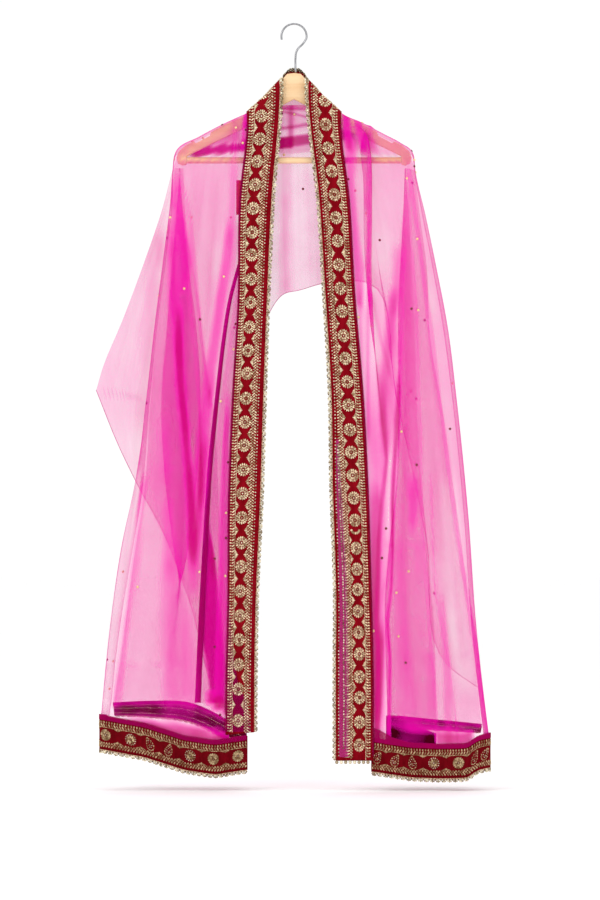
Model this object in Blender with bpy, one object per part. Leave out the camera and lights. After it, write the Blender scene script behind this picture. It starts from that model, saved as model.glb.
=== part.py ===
"""Dupatta stole draped on a wooden coat hanger.

Frame: metres, +Z up, -Y to the front, origin where the hook rests on its rod.
Tables are in millimetres: "drop" is the distance below the origin, "across" runs along X, "depth" along Y.
Each cloth piece is a grid read from smooth guide lines that hang from the hanger, walled by Solidify.
"""

from math import cos, radians, sin

import bmesh
import bpy
from mathutils import Vector

MM = 0.001

# Driving dimensions, in millimetres.
NET = 1.2  # wall of the net
VELVET = 1.6  # wall of the velvet border and of its bead edging
GAP = 0.3  # between pieces at a seam
NECK_SEAM = 1.8  # the same where the neck border twists
LAP = 8.0  # net tucked under a border
HEM_HEIGHT = 61.0  # velvet of a hem border
LACE_WIDTH = 9.0
TAPE_WIDTH = 10.0
LABEL_SIZE = (13.0, 80.0)
WOOD = 12.0  # thickness of the hanger
WOOD_BEVEL = 2.0
WIRE = 4.0  # diameter of the hook
HOOK_RADIUS = 24.0
SHANK_END = (91.8, 3)  # drop and across of the hook's lower end, on the wood
BAR = 12.0  # diameter of the trouser bar
BAR_DROP = 258.0
BAR_HALF = 203.6
OVER_VELVET = (NET + VELVET) / 2 + 3 * GAP  # from the net's middle to the velvet's
FLAT = 4.0  # width of net that lies flat beside a border
LEFT_FOOT = 1365.0  # drop at which the front net ends under each hem border
RIGHT_FOOT = 1362.0
LEFT_CORNER = (-88.0, -108.0)  # across, where the left hem border starts behind the long border
CORNER_DROP = 1380.0  # its depth is the front layer's at this drop
LABEL_PLACE = (-110.0, 296.0, 1.9)  # across, drop and depth behind the front layer
BEHIND_ARM = 2.2  # how much lower than the front net the back net crosses the arm

# How finely the grids are cut: rows down a panel, steps between two guide lines.
FRONT_ROWS, FRONT_STEPS = 16, 2
INNER_ROWS, INNER_STEPS = 18, 3
BACK_ROWS, BACK_STEPS = 16, 2
BORDER_STEPS = 3
TAPE_ROWS, TAPE_STEPS = 12, 2
NECK_ROWS = 4
INNER_HEM_ROWS = 5  # rows of velvet; the bead edging takes the rest
BAR_SIDES = 24

# Outline of one hanger arm as (across, drop): top edge with its strap notch, tip, lower edge.
ARM_TOP = ((0, 92), (13, 93.5), (24, 106), (56, 141), (90, 171), (132, 190), (158, 204), (160, 211), (188, 226),
           (190, 221), (206, 229))
ARM_TIP = ((219, 241), (224, 253), (221, 264), (212, 268), (204, 266), (204, 250))
ARM_LOWER = ((167, 232), (100, 200), (45, 166), (20, 152), (0, 142))
RIDGE = ((0, 92), (24, 106), (56, 141), (90, 171), (132, 190), (206, 229), (219, 241))

# (drop, depth) of the front and of the back layer.
FRONT_DEPTH = ((90, -9.6), (260, -13), (600, -24), (1000, -36), (1440, -44))
BACK_DEPTH = ((90, 9), (176, 9.2), (250, 14), (400, 25), (600, 37), (800, 48), (1300, 58))

# How cloth goes over the top of the arm: (drop below the ridge, depth), from behind to the front.
OVER_ARM = ((5, 8.8), (-1.2, 7.4), (-2.8, 0), (-1.2, -7.4), (8, -9.6))

# (drop, across) of the long border's inner margin and of its beaded side.
LEFT_MARGIN = ((334, -104), (524, -107), (714, -118), (904, -125), (1094, -126), (1284, -130), (1350, -131))
LEFT_EDGE = ((258, -43), (524, -55), (714, -62), (904, -68), (1094, -76), (1284, -79), (1345, -88))
RIGHT_MARGIN = ((334, 106), (505, 116), (714, 133), (866, 141), (1094, 148), (1208, 151), (1399, 150))
RIGHT_EDGE = ((258, 47), (492, 62), (714, 75), (866, 77), (1018, 84), (1208, 83), (1399, 83))
MARGIN_ON_ARM = 89  # across, where the two lines cross the arm
EDGE_ON_ARM = 30

# Guide lines of each net panel: (drop, across, depth). A first number alone is where the line crosses the arm.
LEFT_FRONT = {
    "by border": (102, (334, -124, -5), (524, -127, -6), (714, -140, -7), (1094, -150, -7), (1368, -153, -6)),
    "middle": (135, (400, -158, 4), (700, -180, 6), (1000, -190, 6), (1363, -197, 6)),
    "outer": (178, (400, -196, -3), (700, -226, -5), (1000, -246, -6), (1340, -274, -8)),
}
LEFT_SIDE = (
    (246, -221, 8.8), (240, -223, 6), (240, -224, 0), (246, -227, -5), (268, -230, -7), (334, -235, -11),
    (448, -249, -16), (581, -266, -22), (714, -281, -24), (872, -304, -26), (1005, -329, -26), (1157, -350, -26),
    (1320, -367, -24),
)
LEFT_TURN = (
    (250, -227, 5), (268, -229, 2), (334, -231, -2), (448, -243, -6), (581, -260, -11), (714, -274, -14),
    (899, -290, -14), (1005, -308, -12), (1165, -334, -8), (1322, -353, 0),
)
LEFT_INNER = {
    "left fold": ((273, -227.8, 2.2), (334, -231, 1.2), (448, -243, 1), (581, -260, 0), (714, -273, -3),
                  (899, -286, -3), (1005, -303, 0), (1165, -325, 4), (1298, -344, 6)),
    "first pleat": ((273, -219, 0), (429, -205, 7), (581, -186, 9), (714, -179, 10), (866, -186, 10),
                    (1018, -207, 13), (1170, -245, 22), (1296, -274, 30)),
    "second pleat": ((273, -217, 4), (429, -230, 13), (581, -243, 17), (714, -253, 20), (866, -245, 25),
                     (1018, -226, 29), (1170, -213, 33), (1298, -207, 37)),
    "right side": ((273, -211, 6), (390, -205, 17), (509, -184, 23), (627, -171, 27), (730, -154, 30),
                   (942, -142, 34), (1094, -129, 38), (1208, -110, 40), (1352, -91, 40)),
}
LEFT_TAPE = (
    (470, -112, -10), (749, -152, -11), (836, -163, -12), (958, -171, -13), (1094, -179, -15), (1290, -188, -17),
)
TAPE_LAYER_END = ((470, -104, -11), (749, -118, -23), (958, -124, -32.4), (1094, -124, -35.6), (1290, -129, -39.2))
RIGHT_FRONT = {
    "pleat front": (131, (217, 139, -2), (253, 144, -4), (350, 147, -5), (485, 147, -5), (600, 153, -4),
                    (900, 170, -4), (1364, 186, -4)),
    "pleat back": (136, (217, 130, 2), (297, 133, 1), (445, 135, 1), (505, 139, 1), (700, 163, 2), (900, 186, 2),
                   (1372, 216, 2)),
    "middle": (173, (300, 180, 6), (445, 186, 6), (700, 205, 6), (1000, 232, 6), (1375, 262, 4)),
    "outer": (203, (300, 213, 1), (524, 232, -4), (800, 262, -7), (1100, 300, -8), (1374, 324, -9)),
}
RIGHT_SIDE = (
    (246, 221, 8.8), (240, 223, 6), (240, 224, 0), (246, 227, -5), (268, 229, -7), (363, 250, -12), (454, 269, -14),
    (574, 292, -16), (711, 309, -20), (931, 331, -24), (1150, 347, -26), (1244, 357, -26), (1356, 371, -26),
)
RIGHT_TURN = (
    (250, 227, 5), (268, 228, 2), (363, 244, -2), (454, 262, -3), (574, 283, -4), (711, 301, -5), (931, 323, -5),
    (1150, 338, -5), (1357, 361, -4),
)
RIGHT_INNER = {
    "returned side": ((273, 212, -3), (400, 221, -4), (604, 230, -8), (836, 239, -12), (1024, 254, -15),
                      (1102, 263, -16), (1356, 271, -18)),
    "left fold": ((273, 211, 1), (365, 208, 2), (524, 199, 4), (750, 199, 4), (859, 196, 3), (1005, 180, 2),
                  (1102, 173, 2), (1208, 175, 3), (1324, 178, 5)),
    "middle": ((273, 217, 7), (400, 222, 13), (604, 232, 20), (836, 244, 26), (1102, 262, 31), (1332, 274, 34)),
    "right side": ((277, 229.4, 2.4), (350, 238, 5), (465, 253, 8), (585, 258, 14), (750, 286, 16), (860, 301, 17),
                   (986, 319, 18), (1130, 336, 20), (1340, 358, 24)),
}
# The back panel, left to right; depth here is added to BACK_DEPTH.
BACK = (
    (0, (248, -222, 0), (268, -229, 0), (355, -253, 0), (448, -285, 0), (560, -327, 0), (657, -367, 0),
     (695, -378, 0)),
    (210, (400, -255, 1), (600, -305, 2), (804, -334, 2)),
    (200, (400, -236, -1), (600, -276, -3), (780, -306, -3), (870, -302, -2)),
    (186, (400, -214, 1), (700, -245, 3), (969, -249, 3)),
    (170, (400, -194, -1), (700, -213, -2), (1094, -201, -2)),
    (140, (400, -160, 1), (800, -162, 2), (1265, -137, 2)),
    (116, (400, -126, 0), (800, -120, 0), (1230, -116, 0)),
    (105, (400, -112, 0), (700, -106, 0), (1000, -100, 0)),
    (94, (300, -98, 0), (500, -92, 0), (790, -86, 0)),
    (0, (171, -74, 0), (350, -72, 0), (640, -66, 0)),
    (0, (157, -50, 1.4), (300, -48, 3), (545, -46, 2)),
    (0, (153, -22, 2.4), (300, -20, -2), (512, -20, -3)),
    (0, (152, 2, 2.8), (300, 4, 3), (504, 11, 2)),
    (0, (157, 52, 1.4), (300, 46, -2), (492, 53, -2)),
    (96, (300, 118, 0), (400, 130, 0), (490, 141, 0)),
    (122, (350, 150, 2), (520, 172, 2), (705, 194, 2)),
    (156, (400, 190, -2), (700, 222, -2), (979, 253, -2)),
    (192, (400, 222, 2), (700, 256, 2), (1000, 281, 2), (1222, 295, 2)),
    (0, (248, 222, 0), (268, 228, 0), (363, 247, 0), (454, 265, 0), (574, 287, 0), (711, 304, 0), (931, 326, 0),
     (1150, 339, 0), (1262, 349, 0)),
)
# The border round the back of the neck: (edge across, edge drop, margin across, margin drop, depth).
NECK = (
    (-31, 120, -91, 178, 12.5), (-25, 108, -72, 171, 13.2), (-12, 97, -36, 163, 13.8), (0, 95.5, 2, 160, 14.2),
    (14, 97, 38, 163, 13.8), (27, 108, 74, 171, 13.2), (32, 120, 92, 178, 12.5),
)
# (across, drop) of the upper line of each hem border.
LEFT_HEM_TOP = ((-367, 1312), (-283, 1327), (-209, 1352), (-148, 1360), (-88, 1351))
RIGHT_HEM_TOP = ((153, 1355), (222, 1366), (274, 1368), (330, 1366), (346, 1352), (372, 1347))
# How far each inner hem border falls while it flares to the back: (share of its length, fall).
LEFT_INNER_FALL = ((0.0, 10.0), (1.0, 24.0))
RIGHT_INNER_FALL = ((0.0, 53.0), (0.3, 53.0), (0.55, 16.0), (1.0, 12.0))

# (name, red, green, blue, roughness, metallic, alpha) of each material.
FINISHES = (
    ("net", 0.82, 0.05, 0.45, 0.6, 0.0, 0.45), ("velvet", 0.3, 0.01, 0.02, 0.85, 0.0, 1.0),
    ("gold_trim", 0.72, 0.62, 0.36, 0.35, 0.6, 1.0), ("tape", 0.4, 0.0, 0.12, 0.8, 0.0, 1.0),
    ("label", 0.75, 0.06, 0.03, 0.7, 0.0, 1.0), ("wood", 0.86, 0.62, 0.36, 0.5, 0.0, 1.0),
    ("steel", 0.6, 0.6, 0.62, 0.3, 1.0, 1.0),
)


def clear_scene():
    """Remove every object."""
    for thing in list(bpy.data.objects):
        bpy.data.objects.remove(thing)


def make_material(name, red, green, blue, roughness, metallic, alpha):
    """One Principled material."""
    material = bpy.data.materials.new(name)
    material.use_nodes = True
    shader = material.node_tree.nodes["Principled BSDF"]
    shader.inputs["Base Color"].default_value = (red, green, blue, 1.0)
    shader.inputs["Roughness"].default_value = roughness
    shader.inputs["Metallic"].default_value = metallic
    shader.inputs["Alpha"].default_value = alpha
    return material


def read(table, at):
    """The value of a two-column table at a place between its rows."""
    rows = sorted(table)
    at = min(max(at, rows[0][0]), rows[-1][0])
    for (low, start), (high, end) in zip(rows, rows[1:]):
        if at <= high:
            return start + (end - start) * (at - low) / (high - low)
    return rows[-1][1]


class Line:
    """A smooth line through points, read by the share of its length."""

    def __init__(self, points):
        self.points = [Vector(point) for point in points]
        self.marks = [0.0]
        for first, second in zip(self.points, self.points[1:]):
            self.marks.append(self.marks[-1] + (second - first).length)
        self.slopes = [self.slope(index) for index in range(len(self.points))]

    def slope(self, index):
        """Direction of the line at one of its points, per unit of length."""
        last = len(self.points) - 1
        before, after = max(index - 1, 0), min(index + 1, last)
        if index in (0, last):
            return (self.points[after] - self.points[before]) / (self.marks[after] - self.marks[before])
        behind, ahead = self.marks[index] - self.marks[before], self.marks[after] - self.marks[index]
        arriving = (self.points[index] - self.points[before]) / behind
        leaving = (self.points[after] - self.points[index]) / ahead
        return (arriving * ahead + leaving * behind) / (behind + ahead)

    def at(self, distance):
        """The point at a distance along the line."""
        distance = min(max(distance, 0.0), self.marks[-1])
        span = max(i for i in range(len(self.marks) - 1) if self.marks[i] <= distance)
        width = self.marks[span + 1] - self.marks[span]
        t = (distance - self.marks[span]) / width
        start, end = self.points[span], self.points[span + 1]
        return (start * (2 * t ** 3 - 3 * t ** 2 + 1) + self.slopes[span] * width * (t ** 3 - 2 * t ** 2 + t)
                + end * (3 * t ** 2 - 2 * t ** 3) + self.slopes[span + 1] * width * (t ** 3 - t ** 2))

    def rows(self, count, close_rows):
        """Points down the line: some close together at its start, the rest evenly spaced."""
        start = close_rows[-1] if close_rows else 0.0
        rest = self.marks[-1] - start
        marks = list(close_rows[:-1]) + [start + rest * i / count for i in range(count + 1)]
        return [self.at(mark) for mark in marks]

    def through_points(self, steps):
        """The line's own points, with some steps between each two."""
        result = []
        for low, high in zip(self.marks, self.marks[1:]):
            result += [self.at(low + (high - low) * i / steps) for i in range(steps)]
        return result + [self.points[-1].copy()]


ARM_ROWS = (0.0, 6.2, 13.0, 20.0, 29.0, 70.0)  # distances of the close rows that go over the arm


def place(drop, across, depth):
    """A point in the part's frame, in millimetres."""
    return Vector((across, depth, -drop))


def over_arm(across):
    """Points of a line that goes over the hanger's arm, from behind it to its front."""
    ridge = read(RIDGE, abs(across))
    return [place(ridge + below, across, depth) for below, depth in OVER_ARM]


def front_line(guide, side):
    """A guide line of a front panel: over the arm, then down at its own depth from the front layer."""
    crossing, *fall = guide
    return Line(over_arm(side * crossing) + [place(d, x, read(FRONT_DEPTH, d) + y) for d, x, y in fall])


def border_line(table, crossing, side, shift, foot=None):
    """A line of the long border, moved across by a shift, down to its own end or to another drop."""
    rows = [(drop, across + shift) for drop, across in table]
    if foot is not None:
        rows.append((foot, rows[-1][1]))
    return Line(over_arm(side * crossing + shift) + [place(d, x, read(FRONT_DEPTH, d)) for d, x in rows])


def back_line(guide):
    """A guide line of the back panel, from the back of the arm or from the back of the neck."""
    crossing, *fall = guide
    points = [place(d, x, read(BACK_DEPTH, d) + y) for d, x, y in fall]
    if crossing:
        side = 1 if fall[-1][1] > 0 else -1
        ridge = read(RIDGE, crossing)
        below, depth = OVER_ARM[0]
        points.insert(0, place(ridge + below + BEHIND_ARM, side * crossing, depth))
    return Line(points)


def panel(lines, count, close_rows, steps):
    """Rows of points of a panel hung from its guide lines."""
    columns = [line.rows(count, close_rows) for line in lines]
    return [Line(row).through_points(steps) for row in zip(*columns)]


def moved_out(grid, distance, toward):
    """The grid moved along its normals, to the side that faces a direction."""
    rows, columns = len(grid), len(grid[0])
    normals = []
    for i in range(rows):
        for j in range(columns):
            down = grid[min(i + 1, rows - 1)][j] - grid[max(i - 1, 0)][j]
            along = grid[i][min(j + 1, columns - 1)] - grid[i][max(j - 1, 0)]
            normals.append(down.cross(along).normalized())
    middle = normals[(rows - 1) * columns // 2 + columns // 2]
    sign = 1 if middle.dot(Vector(toward)) > 0 else -1
    return [[grid[i][j] + normals[i * columns + j] * distance * sign for j in range(columns)] for i in range(rows)]


def cloth(name, grid, wall, material):
    """A cloth object: a plane grid laid on the points, walled half to each side."""
    rows, columns = len(grid), len(grid[0])
    mesh = bpy.data.meshes.new(name)
    shape = bmesh.new()
    bmesh.ops.create_grid(shape, x_segments=columns - 1, y_segments=rows - 1, size=1.0)
    for vert in shape.verts:
        column = round((vert.co.x + 1) / 2 * (columns - 1))
        row = round((vert.co.y + 1) / 2 * (rows - 1))
        vert.co = grid[row][column] * MM
    shape.to_mesh(mesh)
    shape.free()
    mesh.shade_smooth()
    thing = bpy.data.objects.new(name, mesh)
    bpy.context.collection.objects.link(thing)
    mesh.materials.append(material)
    solidify = thing.modifiers.new("wall", "SOLIDIFY")
    solidify.thickness = wall * MM
    solidify.offset = 0.0
    return thing


def hem_grid(plan, tops, height, start=0.0):
    """A band that hangs from a line seen from above: from `start` below its upper line, `height` tall."""
    return [[Vector((p.x, p.y, -(read(tops, p.x) + start + height * i / 2))) for p in plan] for i in range(3)]


def front_panels(materials):
    """The front net of both sides, and where each ends at its hem."""
    left_lines = [
        border_line(LEFT_MARGIN, MARGIN_ON_ARM, -1, LAP, LEFT_FOOT),
        border_line(LEFT_MARGIN, MARGIN_ON_ARM, -1, -FLAT, LEFT_FOOT),
        *(front_line(guide, -1) for guide in LEFT_FRONT.values()),
        Line([place(*row) for row in LEFT_SIDE]), Line([place(*row) for row in LEFT_TURN]),
    ]
    right_lines = [
        border_line(RIGHT_MARGIN[:-1], MARGIN_ON_ARM, 1, -LAP, RIGHT_FOOT),
        border_line(RIGHT_MARGIN[:-1], MARGIN_ON_ARM, 1, FLAT, RIGHT_FOOT),
        *(front_line(guide, 1) for guide in RIGHT_FRONT.values()),
        Line([place(*row) for row in RIGHT_SIDE]), Line([place(*row) for row in RIGHT_TURN]),
    ]
    feet = []
    for name, lines in (("net_front_left", left_lines), ("net_front_right", right_lines)):
        grid = panel(lines, FRONT_ROWS, ARM_ROWS, FRONT_STEPS)
        cloth(name, grid, NET, materials["net"])
        feet.append(grid[-1])
    return feet


def inner_panels(materials):
    """The pleated inner net of both sides, and where each ends at its hem."""
    feet = []
    for name, guides in (("net_inner_left", LEFT_INNER), ("net_inner_right", RIGHT_INNER)):
        lines = [Line([place(*row) for row in guide]) for guide in guides.values()]
        grid = panel(lines, INNER_ROWS, (), INNER_STEPS)
        cloth(name, grid, NET, materials["net"])
        feet.append(grid[-1])
    return feet


def back_panel(materials):
    """The net behind the hanger, from the left wing to the right tail."""
    grid = panel([back_line(guide) for guide in BACK], BACK_ROWS, (), BACK_STEPS)
    cloth("net_back", grid, NET, materials["net"])


def long_borders(materials):
    """The velvet borders down both fronts, with their bead edging."""
    for side, sign, margin, edge in (("left", -1, LEFT_MARGIN, LEFT_EDGE), ("right", 1, RIGHT_MARGIN, RIGHT_EDGE)):
        inner = border_line(margin, MARGIN_ON_ARM, sign, 0)
        outer = border_line(edge, EDGE_ON_ARM, sign, 0)
        grid = panel([inner, outer], FRONT_ROWS, ARM_ROWS, BORDER_STEPS)
        cloth(f"border_front_{side}", moved_out(grid, OVER_VELVET, (0, -1, 0)), VELVET, materials["velvet"])
        near = border_line(edge, EDGE_ON_ARM, sign, -sign * GAP)
        far = border_line(edge, EDGE_ON_ARM, sign, -sign * (GAP + LACE_WIDTH))
        grid = panel([near, far], FRONT_ROWS, ARM_ROWS, 1)
        cloth(f"lace_front_{side}", moved_out(grid, OVER_VELVET, (0, -1, 0)), VELVET, materials["gold_trim"])


def neck_border(materials):
    """The border and its edging round the back of the neck."""
    edge = Line([place(row[1], row[0], row[4]) for row in NECK]).through_points(2)
    margin = Line([place(row[3], row[2], row[4]) for row in NECK]).through_points(2)
    shares = [i / (NECK_ROWS - 1) for i in range(NECK_ROWS)]
    grid = [[a.lerp(b, share) for a, b in zip(edge, margin)] for share in shares]
    cloth("border_neck", grid, VELVET, materials["velvet"])
    upward = [(after - before).cross(Vector((0, 1, 0))).normalized() for before, after in zip(edge, edge[2:])]
    rows = [[a + way * distance for a, way in zip(edge[1:-1], upward)] for distance in (NECK_SEAM, LACE_WIDTH)]
    cloth("lace_neck", rows, VELVET, materials["gold_trim"])


def flare(falls, share, distance):
    """From an inner net's foot to a point of its hem: upright where it laps the net, then out to the back."""
    if distance < 0:
        return Vector((0, 0, -distance))
    fall = read(falls, share) / (HEM_HEIGHT - LAP)
    return Vector((0, (1 - fall ** 2) ** 0.5, -fall)) * distance


def hem_borders(materials, front_feet, inner_feet):
    """The end borders round the bottom of both sides, with their edging."""
    corner = [place(0, across, read(FRONT_DEPTH, CORNER_DROP)) for across in LEFT_CORNER]
    left_plan = corner + front_feet[0]
    right_plan = [point for point in front_feet[1] if point.x > RIGHT_HEM_TOP[0][0]]
    right_plan.insert(0, place(0, RIGHT_HEM_TOP[0][0], right_plan[0].y))
    for side, plan, tops in (("left", left_plan, LEFT_HEM_TOP), ("right", right_plan, RIGHT_HEM_TOP)):
        grid = hem_grid(plan, tops, HEM_HEIGHT)
        cloth(f"hem_front_{side}", moved_out(grid, OVER_VELVET, (0, -1, 0)), VELVET, materials["velvet"])
        grid = hem_grid(plan, tops, LACE_WIDTH, HEM_HEIGHT + GAP)
        cloth(f"lace_hem_{side}", moved_out(grid, OVER_VELVET, (0, -1, 0)), VELVET, materials["gold_trim"])
    for side, feet, falls in zip(("left", "right"), inner_feet, (LEFT_INNER_FALL, RIGHT_INNER_FALL)):
        free = HEM_HEIGHT - LAP
        seam = free + GAP
        marks = (-LAP, 0.0, free / 3, 2 * free / 3, free, seam, seam + LACE_WIDTH / 2, seam + LACE_WIDTH)
        grid = [[foot + flare(falls, i / (len(feet) - 1), mark) for i, foot in enumerate(feet)] for mark in marks]
        grid = moved_out(grid, OVER_VELVET, (0, 1, 0))
        cloth(f"hem_inner_{side}", grid[:INNER_HEM_ROWS], VELVET, materials["velvet"])
        cloth(f"lace_inner_{side}", grid[INNER_HEM_ROWS:], VELVET, materials["gold_trim"])


def tape_layer(materials):
    """The turned-in layer on the left with the velvet tape on its edge."""
    edge, end = (Line([place(*row) for row in table]) for table in (LEFT_TAPE, TAPE_LAYER_END))
    layer = panel([edge, end], TAPE_ROWS, (), TAPE_STEPS)
    cloth("net_turned_left", layer, NET, materials["net"])
    grid = [[row[0], row[0] + (row[-1] - row[0]).normalized() * TAPE_WIDTH] for row in layer]
    cloth("tape_left", moved_out(grid, OVER_VELVET, (0, -1, 0)), VELVET, materials["tape"])


def label(materials):
    """The bare woven label behind the left front."""
    width, height = LABEL_SIZE
    left, top, behind = LABEL_PLACE
    grid = [[place(drop, across, read(FRONT_DEPTH, drop) + behind) for across in (left, left + width)]
            for drop in (top, top + height)]
    cloth("label", grid, NET, materials["label"])


def hanger_body(materials):
    """The shaped wooden arms: one outline mirrored, extruded through the wood."""
    half = ARM_TOP + ARM_TIP + ARM_LOWER
    outline = list(half) + [(-across, drop) for across, drop in reversed(half[1:-1])]
    mesh = bpy.data.meshes.new("hanger_body")
    shape = bmesh.new()
    verts = [shape.verts.new((across * MM, WOOD / 2 * MM, -drop * MM)) for across, drop in outline]
    face = shape.faces.new(verts)
    bmesh.ops.extrude_face_region(shape, geom=[face])
    for vert in shape.verts[len(outline):]:
        vert.co.y = -WOOD / 2 * MM
    bmesh.ops.recalc_face_normals(shape, faces=shape.faces)
    shape.to_mesh(mesh)
    shape.free()
    body = bpy.data.objects.new("hanger_body", mesh)
    bpy.context.collection.objects.link(body)
    mesh.materials.append(materials["wood"])
    bevel = body.modifiers.new("round edges", "BEVEL")
    bevel.width = WOOD_BEVEL * MM
    bevel.segments = 1
    bevel.limit_method = "ANGLE"
    bevel.angle_limit = radians(60)


def hanger_bar(materials):
    """The round trouser bar between the arm tips."""
    mesh = bpy.data.meshes.new("hanger_bar")
    shape = bmesh.new()
    bmesh.ops.create_cone(
        shape, cap_ends=True, segments=BAR_SIDES, radius1=BAR / 2 * MM, radius2=BAR / 2 * MM, depth=2 * BAR_HALF * MM
    )
    shape.to_mesh(mesh)
    shape.free()
    mesh.shade_smooth()
    mesh.set_sharp_from_angle(angle=radians(40))
    mesh.materials.append(materials["wood"])
    bar = bpy.data.objects.new("hanger_bar", mesh)
    bar.rotation_euler.y = radians(90)
    bar.location.z = -BAR_DROP * MM
    bpy.context.collection.objects.link(bar)


def hanger_hook(materials):
    """The steel wire hook: most of a turn, then back to a straight shank."""
    middle = Vector((0.0, 0.0, WIRE / 2 - HOOK_RADIUS))
    turn = [middle + HOOK_RADIUS * Vector((cos(radians(a)), 0, sin(radians(a)))) for a in range(195, -15, -14)]
    shank = [Vector((across, 0, -drop)) for drop, across in ((36, 17), (45, 8), (53, 4), (62, 3), SHANK_END)]
    curve = bpy.data.curves.new("hanger_hook", "CURVE")
    curve.dimensions = "3D"
    curve.bevel_depth = WIRE / 2 * MM
    curve.bevel_resolution = 2
    curve.render_resolution_u = 0
    curve.use_fill_caps = True
    points = Line(turn + shank).through_points(1)
    spline = curve.splines.new("POLY")
    spline.points.add(len(points) - 1)
    for spot, point in zip(spline.points, points):
        spot.co = (*(point * MM), 1.0)
    curve.materials.append(materials["steel"])
    bpy.context.collection.objects.link(bpy.data.objects.new("hanger_hook", curve))


def main():
    """Build the hanger, then the cloth from the middle layers outwards."""
    clear_scene()
    materials = {row[0]: make_material(*row) for row in FINISHES}
    hanger_body(materials)
    hanger_bar(materials)
    hanger_hook(materials)
    front_feet = front_panels(materials)
    inner_feet = inner_panels(materials)
    back_panel(materials)
    long_borders(materials)
    neck_border(materials)
    hem_borders(materials, front_feet, inner_feet)
    tape_layer(materials)
    label(materials)


main()
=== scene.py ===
"""The finish of a dupatta stole that hangs on a wooden coat hanger.

Frame: metres, +Z up, -Y to the front, origin where the hook rests on its rod. Tables are in millimetres:
"drop" is the distance below the origin, "across" runs along X and "depth" along Y. Every cloth piece is a
thin sheet hung from the guide lines of its solid, and every trimming is sewn on a cloth piece by its distance
along and across it.
"""

import logging
import math
import random
from collections.abc import Callable
from dataclasses import dataclass, field
from enum import Enum

import bmesh
import bpy
import numpy as np
from mathutils import Matrix, Vector


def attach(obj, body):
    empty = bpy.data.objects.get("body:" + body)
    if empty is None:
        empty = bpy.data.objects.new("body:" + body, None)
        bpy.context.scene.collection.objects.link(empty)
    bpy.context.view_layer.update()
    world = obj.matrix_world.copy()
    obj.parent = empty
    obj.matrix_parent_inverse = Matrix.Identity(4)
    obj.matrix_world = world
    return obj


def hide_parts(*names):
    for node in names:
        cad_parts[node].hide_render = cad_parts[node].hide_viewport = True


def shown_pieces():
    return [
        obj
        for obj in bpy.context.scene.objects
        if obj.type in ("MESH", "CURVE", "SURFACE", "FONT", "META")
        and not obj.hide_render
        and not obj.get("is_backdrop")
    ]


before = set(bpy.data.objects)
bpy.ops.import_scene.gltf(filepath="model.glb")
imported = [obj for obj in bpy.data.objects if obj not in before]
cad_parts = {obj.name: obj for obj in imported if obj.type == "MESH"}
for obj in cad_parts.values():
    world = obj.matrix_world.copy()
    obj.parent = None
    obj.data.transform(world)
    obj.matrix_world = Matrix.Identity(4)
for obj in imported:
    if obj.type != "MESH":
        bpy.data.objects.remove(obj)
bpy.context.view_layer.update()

log = logging.getLogger("dupatta")

MM = 0.001
Colour = tuple[float, float, float]
Point = tuple[float, float, float]
Pair = tuple[float, float]
Table = tuple[tuple[float, ...], ...]
Array = np.ndarray
Points = list[Vector]
Material = bpy.types.Material
Piece = bpy.types.Object
Socket = bpy.types.NodeSocket

# ---- Sizes, in millimetres ----

LAP = 8.0  # net tucked under a border
FLAT = 4.0  # width of net that lies flat beside a border
OVER_NET = 2.3  # from the net's middle to the velvet's
HEM_HEIGHT = 61.0
FREE_HEM = HEM_HEIGHT - LAP
LEFT_FOOT = 1365.0
RIGHT_FOOT = 1362.0
BORDER_WIDTH = 60.0  # nominal width of every velvet border: the embroidery is laid out on it
EDGE_SPREAD = 3.5  # velvet that reaches under the bead edging
ACROSS = 12  # parts across every velvet border
VELVET = 1.0  # thickness of its wall

ARM_TOP = ((0, 92), (13, 93.5), (24, 106), (56, 141), (90, 171), (132, 190), (158, 204), (160, 211),
           (188, 226), (190, 221), (206, 229))
ARM_TIP = ((219, 241), (224, 253), (221, 264), (212, 268), (204, 266), (204, 250))
ARM_LOWER = ((167, 232), (100, 200), (45, 166), (20, 152), (0, 142))
RIDGE = ((0, 92), (24, 106), (56, 141), (90, 171), (132, 190), (206, 229), (219, 241))

# (drop, depth) of the front and of the back layer.
FRONT_DEPTH = ((90, -9.6), (260, -13), (600, -24), (1000, -36), (1440, -44))
BACK_DEPTH = ((90, 9), (176, 9.2), (250, 14), (400, 25), (600, 37), (800, 48), (1300, 58))
OVER_ARM = ((5, 8.8), (-1.2, 7.4), (-2.8, 0), (-1.2, -7.4), (8, -9.6))  # (drop below the ridge, depth)
BEHIND_ARM = 2.2
ARM_ROWS = (0.0, 6.2, 13.0, 20.0, 29.0, 70.0)

# (drop, across) of the long border's inner margin and of its beaded side.
LEFT_MARGIN = ((334, -104), (524, -107), (714, -118), (904, -125), (1094, -126), (1284, -130), (1350, -131))
LEFT_EDGE = ((258, -43), (524, -55), (714, -62), (904, -68), (1094, -76), (1284, -79), (1345, -88))
RIGHT_MARGIN = ((334, 106), (505, 116), (714, 133), (866, 141), (1094, 148), (1208, 151), (1399, 150))
RIGHT_EDGE = ((258, 47), (492, 62), (714, 75), (866, 77), (1018, 84), (1208, 83), (1399, 83))
MARGIN_ON_ARM = 89
EDGE_ON_ARM = 30

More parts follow.
